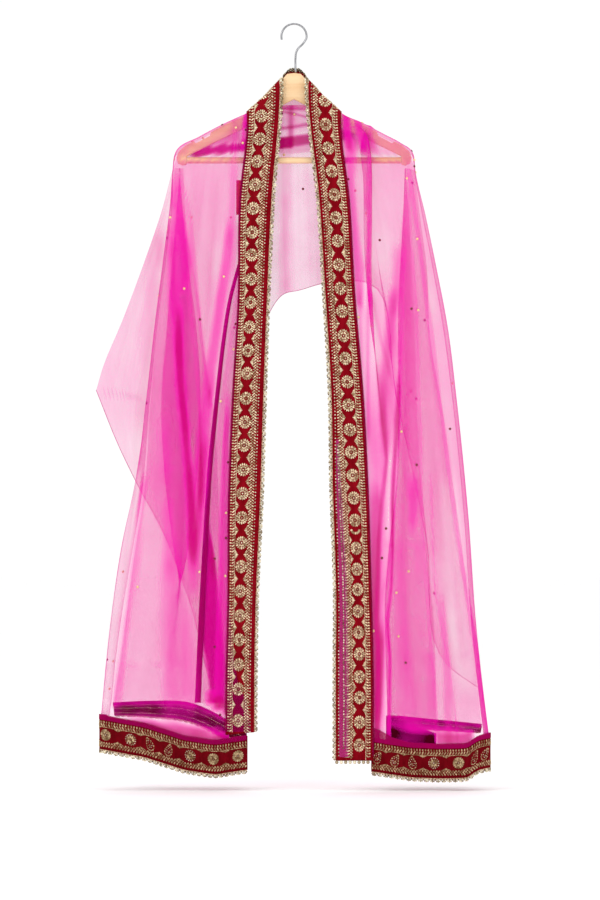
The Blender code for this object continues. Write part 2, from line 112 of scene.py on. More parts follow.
# Guide lines of each net panel: (drop, across, depth). A first number alone is where a line crosses the arm,
# or 0 where a line doesn't start there.
LEFT_FRONT = (
    (102, (334, -124, -5), (524, -127, -6), (714, -140, -7), (1094, -150, -7), (1368, -153, -6)),
    (135, (400, -158, 4), (700, -180, 6), (1000, -190, 6), (1363, -197, 6)),
    (178, (400, -196, -3), (700, -226, -5), (1000, -246, -6), (1340, -274, -8)),
)
LEFT_SIDE = (
    (246, -221, 8.8), (240, -223, 6), (240, -224, 0), (246, -227, -5), (268, -230, -7), (334, -235, -11),
    (448, -249, -16), (581, -266, -22), (714, -281, -24), (872, -304, -26), (1005, -329, -26),
    (1157, -350, -26), (1320, -367, -24),
)
LEFT_TURN = (
    (250, -227, 5), (268, -229, 2), (334, -231, -2), (448, -243, -6), (581, -260, -11), (714, -274, -14),
    (899, -290, -14), (1005, -308, -12), (1165, -334, -8), (1322, -353, 0),
)
LEFT_INNER = (
    ((273, -227.8, 2.2), (334, -231, 1.2), (448, -243, 1), (581, -260, 0), (714, -273, -3), (899, -286, -3),
     (1005, -303, 0), (1165, -325, 4), (1298, -344, 6)),
    ((273, -219, 0), (429, -205, 7), (581, -186, 9), (714, -179, 10), (866, -186, 10), (1018, -207, 13),
     (1170, -245, 22), (1296, -274, 30)),
    ((273, -217, 4), (429, -230, 13), (581, -243, 17), (714, -253, 20), (866, -245, 25), (1018, -226, 29),
     (1170, -213, 33), (1298, -207, 37)),
    ((273, -211, 6), (390, -205, 17), (509, -184, 23), (627, -171, 27), (730, -154, 30), (942, -142, 34),
     (1094, -129, 38), (1208, -110, 40), (1352, -91, 40)),
)
LEFT_TAPE = (
    (456, -107, -10), (520, -124, -10), (600, -137, -10.5), (680, -146.5, -11), (749, -154, -11),
    (836, -163, -12), (958, -171, -13), (1094, -179, -15), (1290, -188, -17),
)
TAPE_LAYER_END = (
    (456, -100, -11), (600, -109, -17), (749, -118, -23), (958, -124, -32.4), (1094, -124, -35.6),
    (1290, -129, -39.2),
)
RIGHT_FRONT = (
    (131, (217, 139, -2), (253, 144, -4), (350, 147, -5), (485, 147, -5), (600, 153, -4), (900, 170, -4),
     (1364, 186, -4)),
    (136, (217, 130, 2), (297, 133, 1), (445, 135, 1), (505, 139, 1), (700, 163, 2), (900, 186, 2),
     (1372, 216, 2)),
    (173, (300, 180, 6), (445, 186, 6), (700, 205, 6), (1000, 232, 6), (1375, 262, 4)),
    (203, (300, 213, 1), (524, 232, -4), (800, 262, -7), (1100, 300, -8), (1374, 324, -9)),
)
RIGHT_SIDE = (
    (246, 221, 8.8), (240, 223, 6), (240, 224, 0), (246, 227, -5), (268, 229, -7), (363, 250, -12),
    (454, 269, -14), (574, 292, -16), (711, 309, -20), (931, 331, -24), (1150, 347, -26), (1244, 357, -26),
    (1356, 371, -26),
)
RIGHT_TURN = (
    (250, 227, 5), (268, 228, 2), (363, 244, -2), (454, 262, -3), (574, 283, -4), (711, 301, -5),
    (931, 323, -5), (1150, 338, -5), (1357, 361, -4),
)
RIGHT_INNER = (
    ((273, 212, -3), (400, 221, -4), (604, 230, -8), (836, 239, -12), (1024, 254, -15), (1102, 263, -16),
     (1356, 271, -18)),
    ((273, 211, 1), (365, 208, 2), (524, 199, 4), (750, 199, 4), (859, 196, 3), (1005, 180, 2),
     (1102, 173, 2), (1208, 175, 3), (1324, 178, 5)),
    ((273, 217, 7), (400, 222, 13), (604, 232, 20), (836, 244, 26), (1102, 262, 31), (1332, 274, 34)),
    ((277, 229.4, 2.4), (350, 238, 5), (465, 253, 8), (585, 258, 14), (750, 286, 16), (860, 301, 17),
     (986, 319, 18), (1130, 336, 20), (1340, 358, 24)),
)
# The back panel, left to right; depth here is added to BACK_DEPTH.
BACK = (
    (0, (248, -222, 0), (268, -229, 0), (355, -253, 0), (448, -285, 0), (560, -327, 0), (657, -367, 0),
     (695, -378, 0)),
    (210, (400, -255, 1), (600, -305, 2), (804, -334, 2)),
    (200, (400, -236, -1), (600, -276, -3), (780, -306, -3), (870, -302, -2)),
    (186, (400, -214, 1), (700, -245, 3), (969, -249, 3)),
    (170, (400, -194, -1), (700, -213, -2), (1094, -201, -2)),
    (140, (400, -160, 1), (800, -162, 2), (1265, -137, 2)),
    (116, (400, -126, 0), (800, -120, 0), (1230, -116, 0)),
    (105, (400, -112, 0), (700, -106, 0), (1000, -100, 0)),
    (94, (300, -98, 0), (500, -92, 0), (790, -86, 0)),
    (0, (171, -74, 0), (350, -72, 0), (640, -66, 0)),
    (0, (157, -50, 1.4), (300, -48, 3), (545, -46, 2)),
    (0, (153, -22, 2.4), (300, -20, -2), (512, -20, -3)),
    (0, (152, 2, 2.8), (300, 4, 3), (504, 11, 2)),
    (0, (157, 52, 1.4), (300, 46, -2), (492, 53, -2)),
    (96, (300, 118, 0), (400, 130, 0), (490, 141, 0)),
    (122, (350, 150, 2), (520, 172, 2), (705, 194, 2)),
    (156, (400, 190, -2), (700, 222, -2), (979, 253, -2)),
    (192, (400, 222, 2), (700, 256, 2), (1000, 281, 2), (1222, 295, 2)),
    (0, (248, 222, 0), (268, 228, 0), (363, 247, 0), (454, 265, 0), (574, 287, 0), (711, 304, 0),
     (931, 326, 0), (1150, 339, 0), (1262, 349, 0)),
)
# The border round the back of the neck: (edge across, edge drop, margin across, margin drop, depth).
NECK = (
    (-31, 120, -91, 178, 12.5), (-25, 108, -72, 171, 13.2), (-12, 97, -36, 163, 13.8),
    (0, 95.5, 2, 160, 14.2), (14, 97, 38, 163, 13.8), (27, 108, 74, 171, 13.2), (32, 120, 92, 178, 12.5),
)
LEFT_HEM_TOP = ((-367, 1312), (-283, 1327), (-209, 1352), (-148, 1360), (-88, 1351))
RIGHT_HEM_TOP = ((153, 1355), (222, 1366), (274, 1368), (330, 1366), (346, 1352), (372, 1347))
LEFT_CORNER = (-88.0, -108.0)
CORNER_DROP = 1380.0
# How far each inner hem hangs, by share along it from the side that its net starts at.
LEFT_INNER_FALL = ((0.0, 19.0), (0.2, 22.0), (0.5, 27.0), (1.0, 35.0))
RIGHT_INNER_FALL = ((0.0, 53.0), (0.3, 53.0), (0.55, 16.0), (1.0, 12.0))
# How much the slip widens the right border, by drop.
RIGHT_SLIP = ((690, 0.0), (771, 2.0), (813, 5.5), (899, 10.0), (1032, 15.5), (1113, 17.0), (1284, 20.0),
              (1380, 18.0))


# ---- Smooth lines and cloth surfaces ----


def read(table: Table, at: float) -> float:
    """The value of a two-column table at a place between its rows.

    Args:
        table: rows of (place, value), in rising order of place or not.
        at: the place.

    Returns:
        The value, held at the table's ends.
    """
    rows = sorted(table)
    return float(np.interp(at, [row[0] for row in rows], [row[1] for row in rows]))


def place(drop: float, across: float, depth: float) -> Vector:
    """A point in the part's frame, in millimetres."""
    return Vector((across, depth, -drop))


class Line:
    """A smooth line through points, read by distance along it."""

    def __init__(self, points: Points) -> None:
        """Measure the line and its direction at each of its points."""
        self.points = [Vector(point) for point in points]
        self.marks = [0.0]
        for first, second in zip(self.points, self.points[1:]):
            self.marks.append(self.marks[-1] + (second - first).length)
        self.slopes = [self.slope(index) for index in range(len(self.points))]

    def slope(self, index: int) -> Vector:
        """Direction of the line at one of its points, per unit of length."""
        last = len(self.points) - 1
        before, after = max(index - 1, 0), min(index + 1, last)
        if index in (0, last):
            return (self.points[after] - self.points[before]) / (self.marks[after] - self.marks[before])
        behind = self.marks[index] - self.marks[before]
        ahead = self.marks[after] - self.marks[index]
        arriving = (self.points[index] - self.points[before]) / behind
        leaving = (self.points[after] - self.points[index]) / ahead
        return (arriving * ahead + leaving * behind) / (behind + ahead)

    def at(self, distance: float) -> Vector:
        """The point at a distance along the line."""
        distance = min(max(distance, 0.0), self.marks[-1])
        span = max(i for i in range(len(self.marks) - 1) if self.marks[i] <= distance)
        width = self.marks[span + 1] - self.marks[span]
        t = (distance - self.marks[span]) / width
        start, end = self.points[span], self.points[span + 1]
        return (start * (2 * t ** 3 - 3 * t ** 2 + 1) + self.slopes[span] * width * (t ** 3 - 2 * t ** 2 + t)
                + end * (3 * t ** 2 - 2 * t ** 3) + self.slopes[span + 1] * width * (t ** 3 - t ** 2))

    def rows(self, count: int, close_rows: tuple[float, ...], fine: int) -> Points:
        """Points down the line: some close together at its start, the rest evenly spaced.

        Args:
            count: number of even intervals.
            close_rows: distances of the close rows.
            fine: parts that every interval is cut into.

        Returns:
            The points, from the start to the end.
        """
        start = close_rows[-1] if close_rows else 0.0
        rest = self.marks[-1] - start
        marks = list(close_rows[:-1]) + [start + rest * i / count for i in range(count + 1)]
        wanted = np.interp(np.arange(0, len(marks) - 1 + 0.5 / fine, 1 / fine), range(len(marks)), marks)
        return [self.at(mark) for mark in wanted]

    def through_points(self, steps: int) -> Points:
        """The line's own points, with some steps between each two."""
        result = []
        for low, high in zip(self.marks, self.marks[1:]):
            result += [self.at(low + (high - low) * i / steps) for i in range(steps)]
        return result + [self.points[-1].copy()]


def over_arm(across: float) -> Points:
    """Points of a line that goes over the hanger's arm, from behind it to its front."""
    ridge = read(RIDGE, abs(across))
    return [place(ridge + below, across, depth) for below, depth in OVER_ARM]


def front_line(guide: tuple, side: int) -> Line:
    """A guide line of a front panel: over the arm, then down at its own depth from the front layer."""
    crossing, *fall = guide
    return Line(over_arm(side * crossing) + [place(d, x, read(FRONT_DEPTH, d) + y) for d, x, y in fall])


def border_line(table: Table, crossing: float, side: int, shift: float, foot: float | None = None) -> Line:
    """A line of the long border, moved across by a shift, down to its own end or to another drop."""
    rows = [(drop, across + shift) for drop, across in table]
    if foot is not None:
        rows.append((foot, rows[-1][1]))
    return Line(over_arm(side * crossing + shift) + [place(d, x, read(FRONT_DEPTH, d)) for d, x in rows])


def back_line(guide: tuple) -> Line:
    """A guide line of the back panel, from the back of the arm or from the back of the neck."""
    crossing, *fall = guide
    points = [place(d, x, read(BACK_DEPTH, d) + y) for d, x, y in fall]
    if crossing:
        side = 1 if fall[-1][1] > 0 else -1
        below, depth = OVER_ARM[0]
        points.insert(0, place(read(RIDGE, crossing) + below + BEHIND_ARM, side * crossing, depth))
    return Line(points)


def plain_lines(guides: tuple) -> list[Line]:
    """Lines through rows of (drop, across, depth)."""
    return [Line([place(*row) for row in guide]) for guide in guides]


class Facing(Enum):
    """The side that a cloth's right side, or its trimming, is turned to."""

    FRONT = (0.0, -1.0, 0.0)
    BACK = (0.0, 1.0, 0.0)


@dataclass(frozen=True)
class Crease:
    """A soft fold in a sheet, or a strip where the cloth is bunched.

    Its path is rows of (drop, across), or of (drop, across, width) where its width changes. A level crease
    runs across the sheet instead of down it.
    """

    path: Table
    width: float
    depth: float
    plies: float  # added, or taken away where less than 0
    level: bool
    fade: float
    crispness: float  # 2 is a soft fold, 8 a strip with sharp sides

    def weight(self, points: Array) -> Array:
        """How strongly the crease is felt at each point, from 0 to 1."""
        drop, across = -points[..., 2], points[..., 0]
        here, aside = (across, drop) if self.level else (drop, across)
        if self.level:
            rows = sorted((row[1], row[0], self.width) for row in self.path)
        else:
            rows = sorted((*row, self.width)[:3] for row in self.path)
        places, middles, widths = zip(*rows)
        distance = (aside - np.interp(here, places, middles)) / np.interp(here, places, widths)
        inside = np.minimum(here - places[0], places[-1] - here) / self.fade
        return np.exp(-np.abs(distance) ** self.crispness) * np.clip(inside + 0.5, 0.0, 1.0)


def crease_table(*rows: tuple, level: bool = False) -> list[Crease]:
    """Creases from a table.

    Args:
        rows: plies, width (0 where the path gives it), depth, fade, crispness, and then the path's points.
        level: whether they run across the sheet.

    Returns:
        The creases, in the order in which they are pressed.
    """
    return [Crease(tuple(path), width, depth, plies, level, fade, crispness)
            for plies, width, depth, fade, crispness, *path in rows]


def level_table(*rows: tuple) -> list[Crease]:
    """Creases that run across the sheet, from a table of the same kind."""
    return crease_table(*rows, level=True)


class Sheet:
    """A cloth surface: rows of points down it and columns across it, in millimetres."""

    def __init__(self, points: Array, facing: Facing) -> None:
        """Keep the points, one flat ply of cloth everywhere.

        Args:
            points: an array of rows, columns and three coordinates.
            facing: the side that the cloth's right side is turned to.
        """
        self.points = points
        self.facing = facing
        self.plies = np.ones(points.shape[:2])

    @classmethod
    def hung(cls, lines: list[Line], count: int, close_rows: tuple[float, ...], fine: int, steps: int,
             facing: Facing) -> "Sheet":
        """A sheet hung from guide lines.

        Args:
            lines: the guide lines, side by side.
            count: even intervals down each line.
            close_rows: distances of the rows that go over the arm.
            fine: parts that each interval is cut into.
            steps: columns from one line to the next.
            facing: the side that the cloth's right side is turned to.

        Returns:
            The sheet.
        """
        columns = [line.rows(count, close_rows, fine) for line in lines]
        rows = [Line(list(row)).through_points(steps) for row in zip(*columns)]
        return cls(np.array([[tuple(point) for point in row] for row in rows]), facing)

    def normals(self) -> Array:
        """The unit normals, on the side that the right side is turned to."""
        down = np.gradient(self.points, axis=0)
        along = np.gradient(self.points, axis=1)
        normals = np.cross(down, along)
        normals /= np.linalg.norm(normals, axis=2, keepdims=True) + 1e-12
        toward = np.array(self.facing.value)
        rows, columns = self.plies.shape
        middle = normals[rows // 2, columns // 2]
        return normals if middle @ toward > 0 else -normals

    def creased(self, creases: list[Crease]) -> "Sheet":
        """Press creases into the sheet."""
        normals = self.normals()
        for crease in creases:
            weight = crease.weight(self.points)
            self.points = self.points + normals * (crease.depth * weight)[..., None]
            self.plies = self.plies + crease.plies * weight
        return self

    def moved_out(self, distance: float) -> "Sheet":
        """A sheet laid over this one, on its right side."""
        return type(self)(self.points + self.normals() * distance, self.facing)

    def size(self) -> Pair:
        """Mean length of the rows and of the columns, in millimetres."""
        width = np.linalg.norm(np.diff(self.points, axis=1), axis=2).sum(axis=1).mean()
        height = np.linalg.norm(np.diff(self.points, axis=0), axis=2).sum(axis=0).mean()
        return float(width), float(height)

    def build(self, name: str, material: Material, wall: float = 0.0) -> Piece:
        """Make the sheet a piece.

        Args:
            name: the piece's name.
            material: its finish.
            wall: thickness in millimetres, or 0 for a bare surface.

        Returns:
            The piece, at the origin.
        """
        rows, columns = self.plies.shape
        width, height = self.size()
        log.info("%s: about %.3f by %.3f m of cloth", name, width * MM, height * MM)
        shape = bmesh.new()
        uv = shape.loops.layers.uv.new("UVMap")
        plies = shape.verts.layers.float.new("plies")
        bmesh.ops.create_grid(shape, x_segments=columns - 1, y_segments=rows - 1, size=1.0, calc_uvs=True)
        for vert in shape.verts:
            column = round((vert.co.x + 1) / 2 * (columns - 1))
            row = round((vert.co.y + 1) / 2 * (rows - 1))
            vert.co = Vector(self.points[row, column]) * MM
            vert[plies] = self.plies[row, column]
        for face in shape.faces:
            for loop in face.loops:
                loop[uv].uv = (loop[uv].uv.x * width * MM, loop[uv].uv.y * height * MM)
        shape.normal_update()
        middle = shape.faces[:][len(shape.faces) // 2]
        if middle.normal.dot(Vector(self.normals()[rows // 2, columns // 2])) < 0:
            bmesh.ops.reverse_faces(shape, faces=shape.faces)
        piece = made(name, shape, material)
        if wall:
            solidify = piece.modifiers.new("wall", "SOLIDIFY")
            solidify.thickness = wall * MM
            solidify.offset = 0.0
        return piece


class Band(Sheet):
    """A border: rows run along it, columns go across it from its beaded edge to its margin.

    What is sewn on it is laid out on its chart, a second grid whose rows stay square to the border's length
    even where its end is cut at a slant. A slip widens a narrow strip of it: rows of (along, extra).
    """

    low = -EDGE_SPREAD
    high = BORDER_WIDTH
    slip_start = 4.2  # across
    slip_width = 1.1

    def __init__(self, points: Array, facing: Facing) -> None:
        """Chart the band on its own grid, measured along its middle."""
        super().__init__(points, facing)
        middle = points[:, points.shape[1] // 2]
        steps = np.linalg.norm(np.diff(middle, axis=0), axis=1)
        marks = np.concatenate(([0.0], np.cumsum(steps)))
        columns = points.shape[1]
        self.charted(self, marks, np.full(columns, marks[0]), np.full(columns, marks[-1]))
        self.slip: Table = ((0.0, 0.0),)

    def charted(self, chart: Sheet, marks: Array, starts: Array, ends: Array) -> None:
        """Lay out the trimming on another grid.

        Args:
            chart: the grid.
            marks: distance along the band of each of its rows.
            starts: distance along at which each of its columns starts.
            ends: distance along at which each of its columns ends.
        """
        self.chart, self.marks, self.starts, self.ends = chart, marks, starts, ends
        self.chart_normals = chart.normals()
        self.slanted_start = float(np.ptp(starts)) > 1.0

    def reach(self, across: float) -> Pair:
        """Where the band starts and ends at a distance across."""
        places = np.linspace(self.low, self.high, len(self.starts))
        return float(np.interp(across, places, self.starts)), float(np.interp(across, places, self.ends))

    def laid(self, points: Array) -> Array:
        """Places of points that are laid on the band.

        Args:
            points: rows of (distance along, nominal distance across from the beaded edge, height above).

        Returns:
            The places in the part's frame, in millimetres.
        """
        rows, columns = self.chart.plies.shape
        extra = np.interp(points[:, 0], [row[0] for row in self.slip], [row[1] for row in self.slip])
        share = np.clip((points[:, 1] - self.slip_start) / self.slip_width, 0.0, 1.0)
        across = points[:, 1] + extra * share
        v = np.clip(np.interp(points[:, 0], self.marks, np.arange(rows)), 0, rows - 1)
        u = (across - self.low) / (self.high + extra - self.low) * (columns - 1)
        row = np.clip(v.astype(int), 0, rows - 2)
        column = np.clip(np.floor(u).astype(int), 0, columns - 2)
        down, over = (v - row)[:, None], (u - column)[:, None]

        def between(values: Array) -> Array:
            """Values between the four grid points round each place."""
            upper = values[row, column] * (1 - over) + values[row, column + 1] * over
            lower = values[row + 1, column] * (1 - over) + values[row + 1, column + 1] * over
            return upper * (1 - down) + lower * down

        return between(self.chart.points) + between(self.chart_normals) * points[:, 2:3]

    def mirrored(self) -> bool:
        """True if a shape laid on the band turns inside out."""
        half = (self.marks[0] + self.marks[-1]) / 2
        probe = np.array([(half, 30.0, 0.0), (half + 1, 30.0, 0.0), (half, 31.0, 0.0), (half, 30.0, 1.0)])
        corners = self.laid(probe)
        along, across, up = (corners[i] - corners[0] for i in (1, 2, 3))
        return float(np.cross(along, across) @ up) < 0

    def strip(self, low: Table, high: Table, lift: float, columns: int = 2) -> Sheet:
        """A narrow sheet along the band.

        Args:
            low: rows of (along, across) of its outer side, which also give where it starts and ends.
            high: rows of (along, across) of its inner side.
            lift: height above the band.
            columns: parts across it.

        Returns:
            The sheet.
        """
        start, end = low[0][0], low[-1][0]
        along = np.linspace(start, end, max(int((end - start) / 4.0), 8))
        outer = np.interp(along, [row[0] for row in low], [row[1] for row in low])
        inner = np.interp(along, [row[0] for row in high], [row[1] for row in high])
        shares = np.linspace(0.0, 1.0, columns + 1)
        across = outer[:, None] * (1 - shares) + inner[:, None] * shares
        flat = np.stack([np.repeat(along, columns + 1), across.ravel(), np.full(across.size, lift)], axis=1)
        return Sheet(self.laid(flat).reshape(len(along), columns + 1, 3), self.facing)


class Stamp(Enum):
    """Small shapes that the handwork is made of, each one millimetre long."""

    STITCH = "stitch"
    BEAD = "bead"
    DISC = "disc"

    def mesh(self) -> bpy.types.Mesh:
        """Model the shape."""
        shape = bmesh.new()
        if self is Stamp.STITCH:
            bmesh.ops.create_uvsphere(shape, u_segments=6, v_segments=4, radius=0.5)
            quarter = Matrix.Rotation(math.pi / 2, 3, "Y")
            bmesh.ops.rotate(shape, verts=shape.verts, cent=(0, 0, 0), matrix=quarter)
        elif self is Stamp.BEAD:
            bmesh.ops.create_icosphere(shape, subdivisions=1, radius=0.5)
        else:
            bmesh.ops.create_cone(shape, cap_ends=True, segments=10, radius1=0.5, radius2=0.38, depth=0.2)
        mesh = bpy.data.meshes.new(self.value)
        shape.to_mesh(mesh)
        shape.free()
        return mesh


class Handwork:
    """Many copies of one small shape, joined in one piece."""

    def __init__(self, stamp: Stamp) -> None:
        """Start with no copies."""
        self.stamp = stamp
        self.rows: list[tuple[float, ...]] = []

    def add(self, along: float, across: float, length: float, width: float, height: float, turn: float = 0.0,
            lift: float = 0.0) -> None:
        """Lay one copy.

        Args:
            along: distance along the border.
            across: nominal distance across it.
            length: length of the copy.
            width: its width.
            height: its height, half of it sunk in the nap.
            turn: degrees from the border's length.
            lift: height of its middle above the velvet.
        """
        self.rows.append((along, across, length, width, height, math.radians(turn), lift))

    def places(self, points: Array) -> Array:
        """Points of every copy as (along, across, height) rows.

        Args:
            points: the shape's own points.

        Returns:
            The points of all the copies, one copy after another.
        """
        rows = np.array(self.rows)
        scaled = points[None] * rows[:, None, 2:5]
        cosine, sine = np.cos(rows[:, 5])[:, None], np.sin(rows[:, 5])[:, None]
        along = scaled[..., 0] * cosine - scaled[..., 1] * sine + rows[:, None, 0]
        across = scaled[..., 0] * sine + scaled[..., 1] * cosine + rows[:, None, 1]
        return np.stack([along, across, scaled[..., 2] + rows[:, None, 6]], axis=-1).reshape(-1, 3)

    def copies(self, flip: bool) -> tuple[bpy.types.Mesh, Array]:
        """All the copies in one mesh, by doubling, and the points of one of them."""
        block = self.stamp.mesh()
        points = np.empty(len(block.vertices) * 3)
        block.vertices.foreach_get("co", points)
        count, whole = len(self.rows), bmesh.new()
        while count:
            if count & 1:
                whole.from_mesh(block)
            count >>= 1
            double = bmesh.new()
            double.from_mesh(block)
            double.from_mesh(block)
            double.to_mesh(block)
            double.free()
        if flip:
            bmesh.ops.reverse_faces(whole, faces=whole.faces)
        mesh = bpy.data.meshes.new(self.stamp.value)
        whole.to_mesh(mesh)
        whole.free()
        bpy.data.meshes.remove(block)
        return mesh, points.reshape(-1, 3)

    def toned(self, mesh: bpy.types.Mesh) -> None:
        """Give each copy its own brightness."""
        count = len(self.rows)
        tones = np.random.default_rng(count).random(count)
        tone = mesh.attributes.new("tone", "FLOAT", "POINT")
        tone.data.foreach_set("value", np.repeat(tones, len(mesh.vertices) // count).astype(np.float32))

    def build(self, name: str, band: Band, material: Material, lift: float = 0.0) -> Piece:
        """Join the copies on a border.

        Args:
            name: the piece's name.
            band: the border.
            material: the finish.
            lift: height of the velvet's face above the middle of its wall, less than 0 on its other face.

        Returns:
            The piece.
        """
        inside = []
        for row in self.rows:
            start, end = band.reach(row[1])
            if start + row[2] / 2 < row[0] < end - row[2] / 3:
                inside.append(row)
        self.rows = inside
        mesh, points = self.copies(band.mirrored())
        spots = self.places(points)
        spots[:, 2] += lift
        mesh.vertices.foreach_set("co", (band.laid(spots) * MM).ravel())
        self.toned(mesh)
        mesh.update()
        return shown(name, mesh, material)


def made(name: str, shape: bmesh.types.BMesh, material: Material) -> Piece:
    """Turn a bmesh in metres into a piece and free it."""
    mesh = bpy.data.meshes.new(name)
    shape.to_mesh(mesh)
    shape.free()
    return shown(name, mesh, material)


def shown(name: str, mesh: bpy.types.Mesh, material: Material, smooth: bool = True) -> Piece:
    """Link a mesh as a piece that rides on the part's one body."""
    mesh.materials.clear()
    mesh.materials.append(material)
    if smooth:
        mesh.shade_smooth()
    else:
        mesh.shade_flat()
    piece = bpy.data.objects.new(name, mesh)
    bpy.context.scene.collection.objects.link(piece)
    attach(piece, "root")
    return piece


# ---- Materials ----


class Recipe:
    """A material and the nodes that mix it."""

    def __init__(self, name: str) -> None:
        """Start a material with one Principled shader."""
        self.material = bpy.data.materials.new(name)
        self.material.use_nodes = True
        self.tree = self.material.node_tree
        self.shader = self.tree.nodes["Principled BSDF"]

    def node(self, kind: str, settings: dict, inputs: dict) -> bpy.types.Node:
        """Add a node.

        Args:
            kind: the node's type.
            settings: its settings, which are made first.
            inputs: value, socket or Value for each input, by name or number.

        Returns:
            The node.
        """
        node = self.tree.nodes.new(kind)
        for name, value in settings.items():
            setattr(node, name, value)
        for name, value in inputs.items():
            self.feed(node.inputs[name], value)
        return node

    def feed(self, socket: Socket, value: object) -> None:
        """Link a socket or a Value to an input, or set the input to a plain value."""
        if isinstance(value, Value):
            value = value.socket
        if isinstance(value, Socket):
            self.tree.links.new(value, socket)
        elif isinstance(value, tuple) and socket.type == "RGBA":
            socket.default_value = (*value, 1.0)
        else:
            socket.default_value = value

    def set(self, **inputs: object) -> None:
        """Set or link the shader's own inputs; an underscore stands for a space."""
        for name, value in inputs.items():
            self.feed(self.shader.inputs[name.replace("_", " ")], value)

    def coordinates(self, output: str, scale: Point = (1.0, 1.0, 1.0)) -> Socket:
        """Object or UV coordinates, stretched by a scale."""
        source = self.node("ShaderNodeTexCoord", {}, {}).outputs[output]
        return self.node("ShaderNodeMapping", {}, {"Vector": source, "Scale": scale}).outputs[0]

    def noise(self, vector: Socket, scale: float, detail: float = 2.0) -> "Value":
        """A soft random value around one half."""
        inputs = {"Vector": vector, "Scale": scale, "Detail": detail}
        return Value(self, self.node("ShaderNodeTexNoise", {}, inputs).outputs[0])

    def attribute(self, name: str) -> "Value":
        """A number kept on the mesh."""
        return Value(self, self.node("ShaderNodeAttribute", {"attribute_name": name}, {}).outputs["Fac"])

    def facing(self) -> "Value":
        """1 less the cosine between the surface and the line of sight."""
        return Value(self, self.node("ShaderNodeLayerWeight", {}, {"Blend": 0.5}).outputs["Facing"])

    def parts(self, vector: Socket) -> tuple["Value", "Value", "Value"]:
        """The three numbers of a vector."""
        node = self.node("ShaderNodeSeparateXYZ", {}, {"Vector": vector})
        return tuple(Value(self, socket) for socket in node.outputs)

    def mixed(self, factor: "Value", first: Colour, second: Colour) -> Socket:
        """A colour between two."""
        inputs = {0: factor, 6: first, 7: second}
        return self.node("ShaderNodeMix", {"data_type": "RGBA"}, inputs).outputs[2]

    def bump(self, height: "Value", distance: float, strength: float = 1.0) -> Socket:
        """A normal roughened by a height, in metres."""
        inputs = {"Height": height, "Distance": distance, "Strength": strength}
        return self.node("ShaderNodeBump", {}, inputs).outputs[0]


def operator(kind: str, swapped: bool = False) -> Callable[["Value", object], "Value"]:
    """A method for one kind of arithmetic, with its two terms swapped if wanted."""

    def method(self: "Value", other: object) -> "Value":
        """The result of one Math node."""
        return self.math(kind, other, self) if swapped else self.math(kind, self, other)

    return method


class Value:
    """A number in a material: plain arithmetic on it adds Math nodes."""

    def __init__(self, recipe: Recipe, socket: Socket) -> None:
        """Wrap a socket."""
        self.recipe = recipe
        self.socket = socket

    def math(self, operation: str, first: object, second: object = 0.0) -> "Value":
        """The result of one Math node."""
        inputs = {0: first, 1: second}
        node = self.recipe.node("ShaderNodeMath", {"operation": operation}, inputs)
        return Value(self.recipe, node.outputs[0])

    __add__, __radd__ = operator("ADD"), operator("ADD", True)
    __sub__, __rsub__ = operator("SUBTRACT"), operator("SUBTRACT", True)
    __truediv__, __rtruediv__ = operator("DIVIDE"), operator("DIVIDE", True)
    __mul__ = operator("MULTIPLY")
    __rpow__ = operator("POWER", True)

    def wave(self) -> "Value":
        """A wave from 0 to 1, one crest for each whole number."""
        return self.math("SINE", self * math.tau) * 0.5 + 0.5

    def stretched(self, low: float, high: float) -> "Value":
        """0 at the low value, 1 at the high one, held outside."""
        inputs = {"Value": self, "From Min": low, "From Max": high}
        node = self.recipe.node("ShaderNodeMapRange", {"interpolation_type": "SMOOTHSTEP"}, inputs)
        return Value(self.recipe, node.outputs[0])


@dataclass(frozen=True)
class Finish:
    """A finish by its name."""

    name: str

    def mix(self, recipe: Recipe) -> None:
        """Set the shader's inputs; each kind of finish has its own way."""
        raise NotImplementedError

    def material(self) -> Material:
        """The finish, mixed."""
        recipe = Recipe(self.name)
        self.mix(recipe)
        return recipe.material


@dataclass(frozen=True)
class NetFinish(Finish):
    """Soft net: a see-through diamond mesh of dyed thread that closes up where it is seen on edge."""

    thread: Colour
    deep: Colour
    cover: float  # share of light that one flat ply stops
    mesh_pitch: float = 0.0016

    def mix(self, recipe: Recipe) -> None:
        """Mix the finish."""
        uv = recipe.coordinates("UV")
        x, y, _ = recipe.parts(uv)
        threads = ((x + y) / self.mesh_pitch).wave() * ((x - y) / self.mesh_pitch).wave()
        streaks = recipe.noise(recipe.coordinates("UV", (34.0, 1.6, 1.0)), 1.0, 3.0)
        clouds = recipe.noise(uv, 11.0, 3.0)
        plies = recipe.attribute("plies")
        slant = 1.0 / (1.05 - recipe.facing())
        density = (0.45 + streaks * 0.55 + clouds * 0.55) * (0.86 + threads * 0.56)
        stacked = plies * slant
        cover = 1.0 - (1.0 - self.cover) ** (stacked * density)
        shade = stacked.stretched(2.8, 8.0) * 0.9 + (streaks * 0.7 + clouds * 0.5).stretched(0.35, 0.85) * 0.1
        recipe.set(
            Base_Color=recipe.mixed(shade, self.thread, self.deep),
            Alpha=cover, Roughness=0.75, Specular_IOR_Level=0.01,
        )


@dataclass(frozen=True)
class RolledFinish(Finish):
    """The rolled edge of a net: a few plies twisted tight."""

    thread: Colour
    deep: Colour
    cover: float

    def mix(self, recipe: Recipe) -> None:
        """Mix the finish."""
        twist = recipe.noise(recipe.coordinates("Object"), 700.0, 2.0)
        recipe.set(
            Base_Color=recipe.mixed(twist.stretched(0.3, 0.7), self.deep, self.thread),
            Alpha=self.cover + (twist - 0.5) * 0.5, Roughness=0.75, Specular_IOR_Level=0.12,
        )


